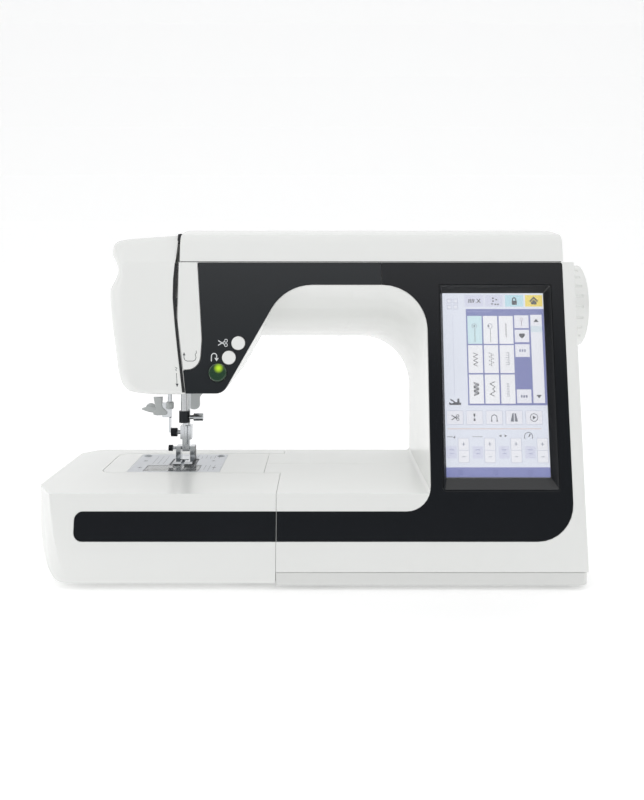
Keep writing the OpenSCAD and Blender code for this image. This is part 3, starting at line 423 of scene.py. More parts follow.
def loft(name, rings, closed=True):
    """A skin over rings of the same number of points, given in millimetres."""
    work = bmesh.new()
    rows = [[work.verts.new(Vector(p) / 1000) for p in ring] for ring in rings]
    for low, high in zip(rows, rows[1:]):
        last = len(low) if closed else len(low) - 1
        for k in range(last):
            n = (k + 1) % len(low)
            work.faces.new((low[k], low[n], high[n], high[k]))
    for face in work.faces:
        face.smooth = True
    return new_piece(name, work)


def pillow(name, outline, y_front, y_back, round_mm, finish, steps=3):
    """A moulded lever blade: an X-Z outline in millimetres given a thickness and rounded edges."""
    work = bmesh.new()
    front = [work.verts.new((x / 1000, y_front / 1000, z / 1000)) for x, z in outline]
    back = [work.verts.new((x / 1000, y_back / 1000, z / 1000)) for x, z in outline]
    work.faces.new(front)
    work.faces.new(back[::-1])
    for k in range(len(outline)):
        n = (k + 1) % len(outline)
        work.faces.new((front[k], back[k], back[n], front[n]))
    bmesh.ops.recalc_face_normals(work, faces=work.faces)
    rims = [e for e in work.edges if abs(e.verts[0].co.y - e.verts[1].co.y) < 1e-6]
    bmesh.ops.bevel(work, geom=rims, offset=round_mm / 1000, segments=steps, affect="EDGES", profile=0.5)
    for face in work.faces:
        face.smooth = len(face.verts) < 5
    return new_piece(name, work, finish)


def arc(x, z, r, start, end, count=8, rise=1.0):
    """Points on an arc in the X-Z plane, angles in degrees from +X towards +Z."""
    return [(x + r * math.cos(math.radians(start + (end - start) * k / count)),
             z + r * rise * math.sin(math.radians(start + (end - start) * k / count)))
            for k in range(count + 1)]


arm_plate = [(-160.4, 137.5), (-151.6, 137.5), (-152.2, 131), (-151.2, 127.6), (-148.6, 125.4)]
arm_plate += arc(-149.2, 122.6, 2.4, 60, -90, 6)
arm_plate += [(-157, 119.8), (-160.4, 120.6), (-160.8, 123), (-158.4, 126)]
tab = [(-171.6, 126.6), (-166, 128.4), (-160, 128.2), (-154, 126),
       (-154, 121.6), (-160, 122.2), (-166, 123.4), (-171.4, 125.2)]
knob = arc(-163.6, 126.8, 4.6, -20, 200, 12, 0.95) + [(-160, 123.8)]
parts = [pillow("threader_lever_arm", arm_plate, 32.2, 36.6, 1.1, grey_acetal),
         pillow("threader_lever_tab", tab, 33.2, 37.4, 0.8, grey_acetal),
         pillow("threader_lever_pad", knob, 35.4, 39.0, 1.0, grey_acetal)]
lever_right = -0.1477  # the rod and its hook plate lie to the right of this, the lever to the left
shaped_copy("threader", "threader_rod", [chrome], 0.3, 2,
            keep=lambda middle, normal: middle.x > lever_right)
rod_x, rod_y = -145, 35
collar_profile = ((0.1, 126), (3.2, 126), (3.9, 126.8), (3.9, 131.4), (3.1, 132.6), (2.1, 133), (0.1, 133))
collar = loft("threader_collar", [
    [(rod_x + r * math.cos(math.radians(20 * k)), rod_y + r * math.sin(math.radians(20 * k)), z)
     for k in range(18)] for r, z in collar_profile])
collar.data.materials.append(grey_acetal)
for piece in parts + [collar]:
    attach(piece, "threader")
    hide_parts("threader")

# ---- Base pan and feet ----
# The base pan closes the machine from below. It is moulded in the same white ABS as the
# covers, with cooling slots under the motor, and stands on five screwed-on rubber feet.

white_abs = moulded_plastic("glossy_white_abs", "#EFF0EE", 0.2, 1.4, 0.006, 0.985, 0.03)
base_abs = moulded_plastic("white_abs_of_base", "#E2E3E1", 0.3, 1.4, 0.01)
foot_rubber = moulded_plastic("black_foot_rubber", "#1D1D1E", 0.8, 0.7, 0.05)
shaped_copy("base_pan", "base_pan_moulding", [base_abs], 0.8, 2)
shaped_copy("rubber_feet", "machine_feet", [foot_rubber], 0.6, 2)

# ---- Front and rear casings ----
# Two shells of glossy white ABS clamp the bed, pillar and arm between them. Their outer edges
# are rounded, sharpest round the black panels and softest along the front of the bed.

outer_edge = 2.5  # radius in millimetres of the casings' right and rear edges
casing_right, casing_rear, lid_joint_z = 0.214, 0.0915, 0.2645


def front_y(z):
    """Y of the leaning front face at a height, in millimetres."""
    return -94 + 0.165 * z


def casing_edge(middle):
    """Edge radius in millimetres of the front casing at one place, where it isn't 0.5."""
    if 0.0735 < middle.z < 0.0765 and middle.y < 0.02:
        return 2.2
    if middle.z > lid_joint_z:
        return 0.03
    return outer_edge if middle.x > casing_right else None


shaped_copy("front_casing", "front_shell", [white_abs], 0.5, 3, radius=casing_edge)
shaped_copy("rear_casing", "rear_shell", [white_abs], 0.5, 3,
            radius=lambda middle: outer_edge if middle.x > casing_right or middle.y > casing_rear else None)

# Inside the throat the two shells meet in one smooth skin: steep behind the arm's front edge,
# flat towards the back, with a corner that widens from 38 mm in front to 50 mm at the back.


arm_front, arm_bend, arm_back = (-54, 245.5), (-35, 200), (95.5, 191.6)
flats = 8  # the arm's underside is made of this many flat steps
bed_top, pillar_side, skin_foot = 75, 89.4, 75.5
corner_front, corner_growth = 38, 12
run_in, round_steps, drop_steps = 3, 18, 8
panel_back = -52.3
casing_back, back_share = 90, 0.963


def belly(share):
    """Y and Z of the arm's underside, from its front edge at 0 to its back at 1."""
    rest = 1 - share
    return [rest * rest * a + 2 * share * rest * b + share * share * c
            for a, b, c in zip(arm_front, arm_bend, arm_back)]


def throat_ring(share):
    """The throat's top right corner and pillar side at one share of the way to the back."""
    flat = math.floor(share * flats)
    low, high = belly(flat / flats), belly(math.ceil(share * flats + 1e-9) / flats)
    top_y, top = (a + (b - a) * (share * flats - flat) for a, b in zip(low, high))
    travel = (top_y - arm_front[0]) / (arm_back[0] - arm_front[0])
    top_y = max(top_y, panel_back)
    corner = corner_front + corner_growth * travel
    ring = []
    last = run_in + round_steps + drop_steps
    for k in range(last + 1):
        turn = math.pi / 2 * min(1, max(0, (k - run_in) / round_steps))
        x = pillar_side - corner + corner * math.sin(turn) - max(0, run_in - k) * 8
        z = top - 0.08 - corner + corner * math.cos(turn)
        if k > run_in + round_steps:
            z = skin_foot + (z - skin_foot) * (last - k) / drop_steps
        front = front_y(bed_top + (z - bed_top) * (arm_front[1] - bed_top) / (top - bed_top)) + 1.6
        side = min(1, turn / 1.2)
        along = front + (casing_back - front) * min(1, travel / back_share)
        ring.append((x, top_y * (1 - side) + side * along, z))
    return ring


throat_skin = loft("throat_skin", [throat_ring(k / 24) for k in range(24)]
                   + [throat_ring(0.9772)], closed=False)
# A flat cap closes the gap between the skin's back edge and the casing's square corner
work = bmesh.new()
work.from_mesh(throat_skin.data)
back_y = max(v.co.y for v in work.verts)
rim = sorted((v for v in work.verts if v.co.y > back_y - 0.00002 and v.co.x > 0.0393 and v.co.z > 0.14),
             key=lambda v: v.co.x)
post = work.verts.new((0.0895, back_y, rim[0].co.z + 0.0001))
for a, b in zip(rim, rim[1:]):
    work.faces.new((post, b, a))
bmesh.ops.recalc_face_normals(work, faces=work.faces)
if sum(f.normal.x * f.calc_area() for f in work.faces) > 0:
    bmesh.ops.reverse_faces(work, faces=work.faces)
work.to_mesh(throat_skin.data)
work.free()
throat_skin.data.materials.append(white_abs)
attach(throat_skin, "chassis")

# A thin dark strip on the casing's top edge, under the lid, is painted shade: it stands for the shadow in the
# joint and uses the black foot rubber finish.
joint_shade_middle, joint_shade_size, joint_shade_round = (0.0425, -0.0492, 0.2655), (0.326, 0.0016, 0.0006), 0.00015
work = bmesh.new()
bmesh.ops.create_cube(work, size=1)
for v in work.verts:
    v.co = [middle + share * size for middle, share, size in zip(joint_shade_middle, v.co, joint_shade_size)]
bmesh.ops.bevel(work, geom=work.edges[:], offset=joint_shade_round, segments=2, affect="EDGES")
lid_joint_shade_strip = new_piece("lid_joint_painted_shade", work, foot_rubber)
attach(lid_joint_shade_strip, "chassis")

# ---- Face cover ----
# The cover on the left of the head swings off for cleaning. It is one thin ABS shell, open
# towards the arm, with a finger scoop in its front left corner.

face_edge = [(154.2, -152), (155, -159), (156.8, -164), (160.2, -167.8), (165, -170.6), (171.5, -172.6),
             (185, -175), (200, -177.4), (216, -180.2), (233, -182.2), (262, -182.8), (287, -183)]


def along_table(table, at):
    """Value at one place of a table of pairs, in straight lines between them."""
    for (a, va), (b, vb) in zip(table, table[1:]):
        if at <= b:
            return va + (vb - va) * max(0, (at - a) / (b - a))
    return table[-1][1]


slot_line = [(150, -114.3), (156, -115.2), (176, -118.0), (192, -120.3), (214, -123.2), (234, -125.3),
             (250, -125.4), (264, -124.4), (275, -123.6), (290, -123.2)]


front_bend_z, cover_back_y, cover_right = 264, 91.9, -122.9
front_corner, back_corner = 13, 9
scoop_z, scoop_half_height, scoop_depth, scoop_reach = 258, 18, 7, 15
top_slope, top_height = 0.075, 25.5


def face_ring(z, inset):
    """One level of the face cover: from the arm side round the front, left and back."""
    left = along_table(face_edge, z) + inset
    front = front_y(min(z, front_bend_z)) + max(0, z - front_bend_z) * 0.5 + inset - 0.25
    back = cover_back_y - inset
    scoop = max(0, 1 - ((z - scoop_z) / scoop_half_height) ** 2) ** 2
    right = along_table(slot_line, z) - 1.0
    path = [(right, front + 0.6), (right - 0.5, front + 0.1)]
    path += [(right - 1 + (left + front_corner - right + 1) * k / 6, front) for k in range(6)]
    for k in range(9):
        turn = math.pi / 2 * k / 8
        path.append((left + front_corner - front_corner * math.sin(turn),
                     front + front_corner - front_corner * math.cos(turn)))
    path += [(left, front + front_corner + (back - back_corner - front - front_corner) * k / 10)
             for k in range(1, 10)]
    for k in range(7):
        turn = math.pi / 2 * k / 6
        path.append((left + back_corner - back_corner * math.cos(turn),
                     back - back_corner + back_corner * math.sin(turn)))
    path += [(left + back_corner + (cover_right - left - back_corner) * k / 6, back) for k in range(1, 7)]
    ring = []
    for x, y in path:
        reach = max(0, 1 - math.hypot(x - left, (y - front - front_corner) / 3.2) / scoop_reach)
        x += scoop_depth * scoop * reach
        lift = max(0, z - front_bend_z) / top_height * (x - cover_right) * top_slope
        ring.append((x, y, z + lift))
    return ring


levels = [154.2, 154.7, 155.4, 156.6, 158.2, 160.4, 163, 167, 172, 180, 190, 200, 210, 220, 230, 236]
levels += [240 + 2 * k for k in range(22)]
face_rings = [face_ring(z, max(0, 3 - (z - levels[0]) * 1.5)) for z in levels]
top_round = 7
for k in range(1, 7):
    turn = math.pi / 2 * k / 6
    face_rings.append(face_ring(levels[-1] + top_round * math.sin(turn),
                                top_round - top_round * math.cos(turn)))
top, ridge_y = face_rings[-1], 20
for share in (0.35, 0.7, 1.0):
    face_rings.append([(x, y + (ridge_y - y) * share, z + 0.4 * share) for x, y, z in top])
face_shell = loft("face_cover_shell", [ring[::-1] for ring in face_rings], closed=False)
wall = face_shell.modifiers.new("wall", "SOLIDIFY")
wall.thickness = 0.0022
wall.offset = -1
settle(face_shell)
face_shell.data.materials.append(white_abs)
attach(face_shell, "chassis")
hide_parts("face_cover")

frame["nodes"]["thread_cutter"].material_slots[0].material = ground_steel

# A black stop closes the top end of the slot between the cover and the lid
stop_outline = [(-125.4, 281.5), (-121.4, 283), (-120.4, 288.6), (-122, 290), (-124.6, 289.6)]
slot_end = pillow("slot_end_stop", stop_outline, -40.4, -30, 0.7, black_nylon)
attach(slot_end, "chassis")

# ---- Lid, spool deck and winder ----
# The lid hinges at the back on three steel pins and hides the spool pin and the bobbin winder.
# Lid and deck are white ABS; the deck is textured and a shade greyer.

deck_abs = moulded_plastic("textured_white_abs", "#DCDEDD", 0.45, 0.8, 0.03)
shaped_copy("top_lid", "lid_shell", [white_abs], 1.0, 3)
shaped_copy("spool_deck", "deck_moulding", [deck_abs], 0.5, 2)
shaped_copy("spool_pin", "spool_rod", [deck_abs], 0.4, 2)
shaped_copy("spool_cap", "spool_stop_cap", [deck_abs], 0.4, 2)
shaped_copy("winder_stop", "winder_stop_block", [deck_abs], 0.6, 2)
shaped_copy("winder_carriage", "winder_slide", [black_nylon], 0.4, 2)
shaped_copy("winder_spindle", "winder_shaft", [upright_steel], 0.25, 2)
frame["nodes"]["pivot_pins"].material_slots[0].material = ground_steel

# ---- Carrying handle ----
# A U-shaped handle of solid ABS hangs in a pocket in the back and swings up on two pins,
# moulded on the ends of its legs.

shaped_copy("carry_handle", "carrying_handle", [base_abs], 1.2, 3)

# ---- Black front panels ----
# Two sheets of gloss black acrylic, printed from behind, cover the arm and the pillar. Cut
# edges are polished, and a hairline joint shows above the throat.

gloss_black = moulded_plastic("gloss_black_acrylic", "#14161A", 0.07, 3, 0.002, 0.9, 0.02)
arm_black = moulded_plastic("gloss_black_acrylic_of_arm", "#24272A", 0.1, 3, 0.002, 0.9, 0.02)
shaped_copy("pillar_fascia", "pillar_panel", [gloss_black], 0.4, 2)
shaped_copy("arm_fascia", "arm_panel", [arm_black], 0.4, 2)
shaped_copy("table_stripe", "table_panel", [gloss_black], 0.35, 2)
shaped_copy("thread_guide_strip", "guide_strip", [white_abs], 0.4, 2)

# ---- Push buttons ----
# Two white ABS keys cut the thread and sew backwards. The larger start key is green-lit clear
# acrylic over a lamp.

shaped_copy("cutter_button", "thread_cut_key", [white_abs], 0.4, 3)
shaped_copy("reverse_button", "reverse_key", [white_abs], 0.4, 3)

lit_green, tree, shader = new_finish("green_lit_acrylic")
where = add(tree, "ShaderNodeMapping", {"Location": (0.0862, 0, -0.1762)}, {
    "Vector": add(tree, "ShaderNodeTexCoord").outputs["Object"]})
flat = add(tree, "ShaderNodeMapping", {"Scale": (1, 0, 1)}, {"Vector": where.outputs["Vector"]})
away = add(tree, "ShaderNodeVectorMath", {"operation": "LENGTH"}, {0: flat.outputs["Vector"]})
glow = add(tree, "ShaderNodeMapRange", {"From Min": 0.0005, "From Max": 0.0048, "To Min": 1, "To Max": 0,
                                        "interpolation_type": "SMOOTHSTEP"}, {
    "Value": away.outputs["Value"]})
lamp_tone = add(tree, "ShaderNodeMix", {"data_type": "RGBA", 6: linear("#0C2A12"), 7: linear("#B6D820")}, {
    0: glow.outputs["Result"]})
body_tone = add(tree, "ShaderNodeMix", {"data_type": "RGBA", 6: linear("#16301F"), 7: linear("#7FA51E")}, {
    0: glow.outputs["Result"]})
tree.links.new(body_tone.outputs[2], shader.inputs["Base Color"])
tree.links.new(lamp_tone.outputs[2], shader.inputs["Emission Color"])
for socket, value in (("Emission Strength", 0.7), ("Roughness", 0.06), ("IOR", 1.49), ("Coat Weight", 1.0)):
    shader.inputs[socket].default_value = value
shaped_copy("start_button", "start_stop_key", [lit_green], 0.9, 3)


# ---- Printed marks ----
# Marks are pad-printed in one colour: scissors and a turn-back arrow beside the keys, a thread
# path arrow on the guide strip and a down arrow on the face cover.

class Print:
    """Flat shapes drawn on a surface; place(a, b, level) puts a point given in millimetres there.
    unit is how many millimetres one step across and one step down are, for a drawing in shares."""

    def __init__(self, place, outward, unit=(1, 1)):
        self.place, self.outward, self.unit = place, Vector(outward), unit
        self.faces = []

    def area(self, points, tint, level=0):
        self.shape([(a * self.unit[0], b * self.unit[1]) for a, b in points], tint, level)

    def shape(self, points, tint, level):
        self.faces.append(([self.place(a, b, level) for a, b in points], linear(tint)))

    def box(self, a0, b0, a1, b1, tint, level=0, corner=0):
        if not corner:
            self.area([(a0, b0), (a1, b0), (a1, b1), (a0, b1)], tint, level)
            return
        a0, a1, corner = a0 * self.unit[0], a1 * self.unit[0], corner * self.unit[0]
        b0, b1 = b0 * self.unit[1], b1 * self.unit[1]
        points = []
        for ca, cb, start in ((a1 - corner, b0 + corner, -90), (a1 - corner, b1 - corner, 0),
                              (a0 + corner, b1 - corner, 90), (a0 + corner, b0 + corner, 180)):
            for k in range(5):
                turn = math.radians(start + 22.5 * k)
                points.append((ca + corner * math.cos(turn), cb + corner * math.sin(turn)))
        self.shape(points, tint, level)

    def disc(self, a, b, r, tint, level=0, sides=20):
        a, b, r = a * self.unit[0], b * self.unit[1], r * self.unit[0]
        self.shape([(a + r * math.cos(2 * math.pi * k / sides), b + r * math.sin(2 * math.pi * k / sides))
                    for k in range(sides)], tint, level)

    def line(self, points, width, tint, level=0):
        """A line of even width with mitred bends."""
        points = [(a * self.unit[0], b * self.unit[1]) for a, b in points]
        width *= self.unit[0]
        sides = []
        for k, p in enumerate(points):
            before = Vector(points[max(k - 1, 0)])
            after = Vector(points[min(k + 1, len(points) - 1)])
            here = Vector(p)
            d1 = (here - before).normalized() if k else (after - here).normalized()
            d2 = (after - here).normalized() if k < len(points) - 1 else d1
            across = Vector((-(d1 + d2).y, (d1 + d2).x))
            across = across.normalized() if across.length > 1e-6 else Vector((-d1.y, d1.x))
            reach = width / 2 / max(0.35, across.dot(Vector((-d1.y, d1.x))))
            sides.append((here + across * reach, here - across * reach))
        for (l1, r1), (l2, r2) in zip(sides, sides[1:]):
            self.shape([tuple(l1), tuple(r1), tuple(r2), tuple(l2)], tint, level)

    def ring(self, a, b, r, width, tint, level=0, start=0, end=360, sides=24):
        squash = self.unit[0] / self.unit[1]
        self.line([(a + r * math.cos(math.radians(start + (end - start) * k / sides)),
                    b + r * squash * math.sin(math.radians(start + (end - start) * k / sides)))
                   for k in range(sides + 1)], width, tint, level)

    def finish(self, name, material, body, slot):
        points, faces, tints = [], [], []
        for ring, tint in self.faces:
            first = len(points)
            edge = [Vector(p) / 1000 for p in ring]
            normal = Vector((0, 0, 0))
            for p, q in zip(edge, edge[1:] + edge[:1]):
                normal += p.cross(q)
            order = range(len(edge)) if normal.dot(self.outward) > 0 else range(len(edge) - 1, -1, -1)
            points += edge
            faces.append([first + k for k in order])
            tints += [tint] * len(edge)
        mesh = bpy.data.meshes.new(name)
        mesh.from_pydata(points, [], faces)
        layer = mesh.color_attributes.new("ink", "BYTE_COLOR", "CORNER")
        for k, tint in enumerate(tints):
            layer.data[k].color = tint
        piece = new_piece(name, mesh, material)
        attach(piece, body)
        return piece


def on_front(depth):
    """Place of a drawn point on the leaning front face, that far behind it."""
    return lambda a, b, level: (a, front_y(b) + depth - 0.02 * level, b)


def ink(name, roughness):
    """Pad-printing ink: a thin matt film with uneven cover."""
    finish, tree, shader = new_finish(name)
    colour = add(tree, "ShaderNodeVertexColor", {"layer_name": "ink"})
    cover = add(tree, "ShaderNodeTexNoise", {"Scale": 1500, "Detail": 2}, {
        "Vector": add(tree, "ShaderNodeTexCoord").outputs["Object"]})
    gloss = add(tree, "ShaderNodeMapRange", {"To Min": roughness - 0.1, "To Max": roughness + 0.1}, {
        "Value": cover.outputs["Fac"]})
    tree.links.new(colour.outputs["Color"], shader.inputs["Base Color"])
    tree.links.new(gloss.outputs["Result"], shader.inputs["Roughness"])
    return finish


print_ink = ink("pad_printing_ink", 0.45)
pale_ink, dark_ink, grey_ink = "#DDE0E2", "#3C3F42", "#4A4D50"
out_of_front = (0, -1, 0.165)
marks = Print(on_front(0.04), out_of_front)
# Scissors: two finger rings and two crossing blades
for side in (-1, 1):
    marks.ring(-80.6, 196.9 + side * 1.75, 1.25, 0.55, pale_ink, sides=14)
    marks.line([(-81.8, 196.9 + side * 1.2), (-87.2, 196.9 - side * 2.0)], 0.75, pale_ink)
# Turn-back arrow
hook_path = [(-92.6, 181.6), (-92.6, 186)] + [
    (-90.4 - 2.2 * math.cos(math.radians(20 * k)), 186 + 2.2 * math.sin(math.radians(20 * k)))
    for k in range(1, 9)] + [(-88.2, 186), (-88.2, 184)]
marks.line(hook_path, 0.8, pale_ink)
marks.area([(-90, 184.4), (-86.4, 184.4), (-88.2, 181.6)], pale_ink)
marks.finish("key_marks", print_ink, "chassis", "white_abs")

# Painted shade of the take-up slot: a flat dark band along the cover's right edge stands for the shadow
# inside the slot
slot = Print(on_front(-0.06), out_of_front)
slot.area([(x - 1.3, z) for z, x in slot_line[1:-2]]
          + [(x + 1.15, z) for z, x in slot_line[-3:0:-1]], "#1B1C1E")
slot.finish("take_up_slot_painted_shade", print_ink, "chassis", "white_abs")

strip_marks = Print(on_front(-0.46), out_of_front)
path_arrow = [(-105.6, 190.6), (-105.2, 188.6), (-106.2, 187.4), (-105.4, 184.6), (-106.2, 182.8),
              (-107.8, 181.9), (-112.8, 181.9), (-114.8, 182.8), (-115.6, 184.6), (-115.6, 187)]
strip_marks.line(path_arrow, 0.42, dark_ink)
strip_marks.area([(-116.7, 186.6), (-114.5, 186.6), (-115.6, 189.2)], dark_ink)
strip_marks.finish("thread_path_mark", print_ink, "chassis", "white_abs")

cover_marks = Print(on_front(-0.29), out_of_front)
cover_marks.line([(-121.6, 172), (-120.8, 163)], 0.4, grey_ink)
cover_marks.area([(-122.0, 163.4), (-119.6, 163.2), (-120.7, 160.4)], grey_ink)
cover_marks.line([(-122.9, 177), (-121.3, 176), (-122.4, 174.6), (-121.4, 173.8)], 0.35, grey_ink)
cover_marks.finish("down_arrow_mark", print_ink, "chassis", "white_abs")

# ---- Screen ----
# A colour touch display lies behind clear glass at the foot of a mitred black frame. The
# picture is drawn with generic keys, stitch sketches and symbols, and no writing.

bezel_black = moulded_plastic("satin_black_abs", "#1A1C1F", 0.2, 1.2, 0.01)


frame_left, frame_right, frame_bottom, frame_top = 100.2, 195.8, 77.2, 246.2


def window_ring(draw_in, r, depth, top_in=0.0, side_in=0.0):
    """A rounded rectangle round the screen opening, drawn in by some millimetres, at a depth."""
    x0, x1 = frame_left + draw_in + side_in * 0.8, frame_right - draw_in - side_in
    z0, z1 = frame_bottom + draw_in + top_in, frame_top - draw_in - top_in
    ring = []
    for cx, cz, start in ((x1 - r, z0 + r, -90), (x1 - r, z1 - r, 0),
                          (x0 + r, z1 - r, 90), (x0 + r, z0 + r, 180)):
        ring += [(x, front_y(z) + depth, z) for x, z in arc(cx, cz, r, start, start + 90, 5)]
    return ring


outer = window_ring(0, 1.8, 9)
rings = [outer, window_ring(0, 1.8, 0.6), window_ring(0.3, 1.6, 0.3), window_ring(0.9, 1.4, 0.3),
         window_ring(1.1, 1.3, 0.5), window_ring(0, 0.6, 8.8, 7.5, 4.6),
         window_ring(0, 0.5, 9, 7.8, 4.8), outer]
bezel = loft("display_frame", rings)
work = bmesh.new()
work.from_mesh(bezel.data)
bmesh.ops.remove_doubles(work, verts=work.verts, dist=0.00001)
bmesh.ops.recalc_face_normals(work, faces=work.faces)
for edge in work.edges:
    edge.smooth = len(edge.link_faces) == 2 and edge.calc_face_angle(0) < math.radians(25)
work.to_mesh(bezel.data)
work.free()
bezel.data.materials.append(bezel_black)
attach(bezel, "chassis")
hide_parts("screen_bezel")
frame["nodes"]["display_panel"].material_slots[0].material = black_nylon
board_green = moulded_plastic("green_solder_mask", "#1D5A35", 0.35, 0.5, 0.02, 0.8)
shaped_copy("main_board", "control_board", [board_green, black_nylon], 0.1, 1,
            choose=lambda middle, normal: 1 if 0.1195 < middle.x < 0.1405 and (
                middle.y - (front_y(middle.z * 1000) + 21.65) / 1000 > 0) else 0)
frame["nodes"]["screen_glass"].material_slots[0].material = clear_plastic(
    "hard_coated_touch_glass", "#FFFFFF", 0.03, 1.5)

screen_x, screen_top, screen_w, screen_h = 103.5, 238.5, 87.5, 153.0
picture = Print(lambda a, b, level: (screen_x + a, front_y(screen_top - b) + 10.78 - 0.02 * level,
                                     screen_top - b), out_of_front, (screen_w, screen_h))
picture.box(0, 0, 1, 1, "#E9EEFB", 0)
violet, pale, keyface, dark, line_grey = "#747BB8", "#DCDFF3", "#F1F2FB", "#3A3D48", "#C6CADF"
slate, soft_violet, faint = "#5C6070", "#5A60A0", "#8E94A8"
# Project icon, stitch preview and foot sketch down the left
for a in (0.05, 0.112):
    for b in (0.032, 0.066):
        picture.box(a, b, a + 0.048, b + 0.026, line_grey, 1)
        picture.box(a + 0.006, b + 0.004, a + 0.042, b + 0.022, "#EEF1FB", 2)
for k in range(34):
    picture.line([(0.105, 0.135 + 0.0128 * k), (0.105, 0.142 + 0.0128 * k)], 0.006, line_grey, 1)
picture.area([(0.05, 0.6), (0.075, 0.608), (0.115, 0.6), (0.165, 0.604), (0.165, 0.616), (0.05, 0.616)],
             dark, 1)
picture.line([(0.118, 0.612), (0.09, 0.594), (0.062, 0.586)], 0.012, dark, 1)
picture.line([(0.14, 0.606), (0.14, 0.582)], 0.02, dark, 1)
# Keys along the top
for a0, a1, tint in ((0.225, 0.412, pale), (0.425, 0.6, pale), (0.625, 0.805, "#BFE6F3"),
                     (0.822, 0.992, "#F6DF62")):
    picture.box(a0, 0.012, a1, 0.076, tint, 1)
for k in range(4):
    picture.line([(0.272 + 0.016 * k, 0.034), (0.264 + 0.016 * k, 0.055)], 0.009, dark, 2)
picture.line([(0.345, 0.033), (0.382, 0.056)], 0.008, dark, 2)
picture.line([(0.382, 0.033), (0.345, 0.056)], 0.008, dark, 2)
for a, b in ((0.497, 0.026), (0.497, 0.042), (0.531, 0.034), (0.487, 0.058), (0.52, 0.06), (0.545, 0.06)):
    picture.box(a, b, a + 0.017, b + 0.007, dark, 2)
picture.box(0.69, 0.043, 0.74, 0.066, dark, 2)
picture.line([(0.698, 0.044), (0.7, 0.032), (0.715, 0.026), (0.73, 0.032), (0.732, 0.044)], 0.01, dark, 2)
picture.line([(0.868, 0.048), (0.907, 0.026), (0.946, 0.048)], 0.016, dark, 2)
picture.area([(0.88, 0.064), (0.88, 0.052), (0.907, 0.037), (0.934, 0.052), (0.934, 0.064)], dark, 2)
# Stitch chooser: violet frame with nine tiles, small keys and a scroll bar
picture.box(0.235, 0.09, 1.0, 0.618, violet, 1)
for k in range(9):
    picture.box(0.255 + 0.027 * k, 0.102, 0.272 + 0.027 * k, 0.106, "#A9AFDC", 2)
columns = ((0.248, 0.388), (0.402, 0.541), (0.556, 0.694))
rows = ((0.128, 0.283), (0.29, 0.443), (0.451, 0.609))
for j, (b0, b1) in enumerate(rows):
    for i, (a0, a1) in enumerate(columns):
        picture.box(a0, b0, a1, b1, "#D3EFF6" if i == j == 0 else "#F8F9FE", 2)
        m, n = (a0 + a1) / 2, (b0 + b1) / 2
        if j == 0 and i < 2:
            picture.disc(m - 0.004 - 0.012 * i, n - 0.021, 0.008, dark, 3, 10)
            picture.ring(m - 0.004, n - 0.021, 0.022, 0.005, "#8A90A8", 3, sides=14)
            for k in range(7):
                picture.line([(m, n + 0.01 * k - 0.002), (m, n + 0.01 * k + 0.004)], 0.007, dark, 3)
        elif j == 0:
            for k in range(8):
                picture.line([(m - 0.01 + 0.004 * (k % 2), n - 0.034 + 0.0095 * k),
                              (m + 0.006, n - 0.028 + 0.0095 * k)], 0.006, dark, 3)
        elif j == 1 and i < 2:
            for k in range(7):
                a = m - 0.022 + 0.044 * (k % 2)
                c = m - 0.022 + 0.044 * ((k + 1) % 2)
                if i == 0:
                    picture.line([(a, n - 0.034 + 0.0105 * k), (c, n - 0.0235 + 0.0105 * k)], 0.006, dark, 3)
                else:
                    for s in (0.1, 0.5):
                        picture.disc(a + (c - a) * s, n - 0.034 + 0.0105 * (k + s), 0.006, dark, 3, 6)
        elif j == 1:
            for k in range(6):
                picture.line([(m - 0.014, n - 0.034 + 0.013 * k), (m + 0.018, n - 0.034 + 0.013 * k)],
                             0.004, "#7C8294", 3)
            picture.line([(m + 0.018, n - 0.036), (m + 0.018, n + 0.034)], 0.005, "#7C8294", 3)
        elif i == 0:
            for k in range(6):
                a = m - 0.026 + 0.052 * (k % 2)
                c = m - 0.026 + 0.052 * ((k + 1) % 2)
                for shift in (0, 0.0045, 0.009):
                    b = n - 0.038 + 0.011 * k + shift
                    picture.line([(a, b), (c, b + 0.011)], 0.005, dark, 3)
        elif i == 1:
            swan = ((0.026, -0.04), (-0.02, -0.028), (0.026, -0.012), (0.004, 0), (0.026, 0.012),
                    (-0.02, 0.028), (0.02, 0.038))
            picture.line([(m + a, n + b) for a, b in swan], 0.007, dark, 3)
        else:
            for k in range(3):
                picture.ring(m, n - 0.026 + 0.026 * k, 0.01, 0.004, "#7C8294", 3, sides=8)
                picture.line([(m - 0.016, n - 0.013 + 0.026 * k), (m + 0.016, n - 0.013 + 0.026 * k)],
                             0.004, "#7C8294", 3)
for b0, b1 in ((0.125, 0.196), (0.205, 0.274), (0.285, 0.355), (0.532, 0.606)):
    picture.box(0.708, b0, 0.848, b1, keyface, 2)
picture.ring(0.778, 0.148, 0.014, 0.004, "#A08CA0", 3, sides=12)
picture.line([(0.778, 0.156), (0.778, 0.182)], 0.006, "#A08CA0", 3)
picture.disc(0.765, 0.234, 0.016, dark, 3, 12)
picture.disc(0.792, 0.234, 0.016, dark, 3, 12)
picture.area([(0.75, 0.238), (0.807, 0.238), (0.7785, 0.254)], dark, 3)
for k in range(3):
    picture.box(0.746 + 0.024 * k, 0.313, 0.762 + 0.024 * k, 0.327, "#8E94B4", 3)
    picture.box(0.746 + 0.024 * k, 0.563, 0.762 + 0.024 * k, 0.576, "#6A7090", 3)
picture.box(0.866, 0.122, 0.978, 0.606, "#F3F4FC", 2)
picture.box(0.866, 0.184, 0.978, 0.218, "#DCE9F2", 3)
picture.area([(0.896, 0.162), (0.948, 0.162), (0.922, 0.144)], dark, 3)
picture.area([(0.896, 0.562), (0.948, 0.562), (0.922, 0.58)], dark, 3)
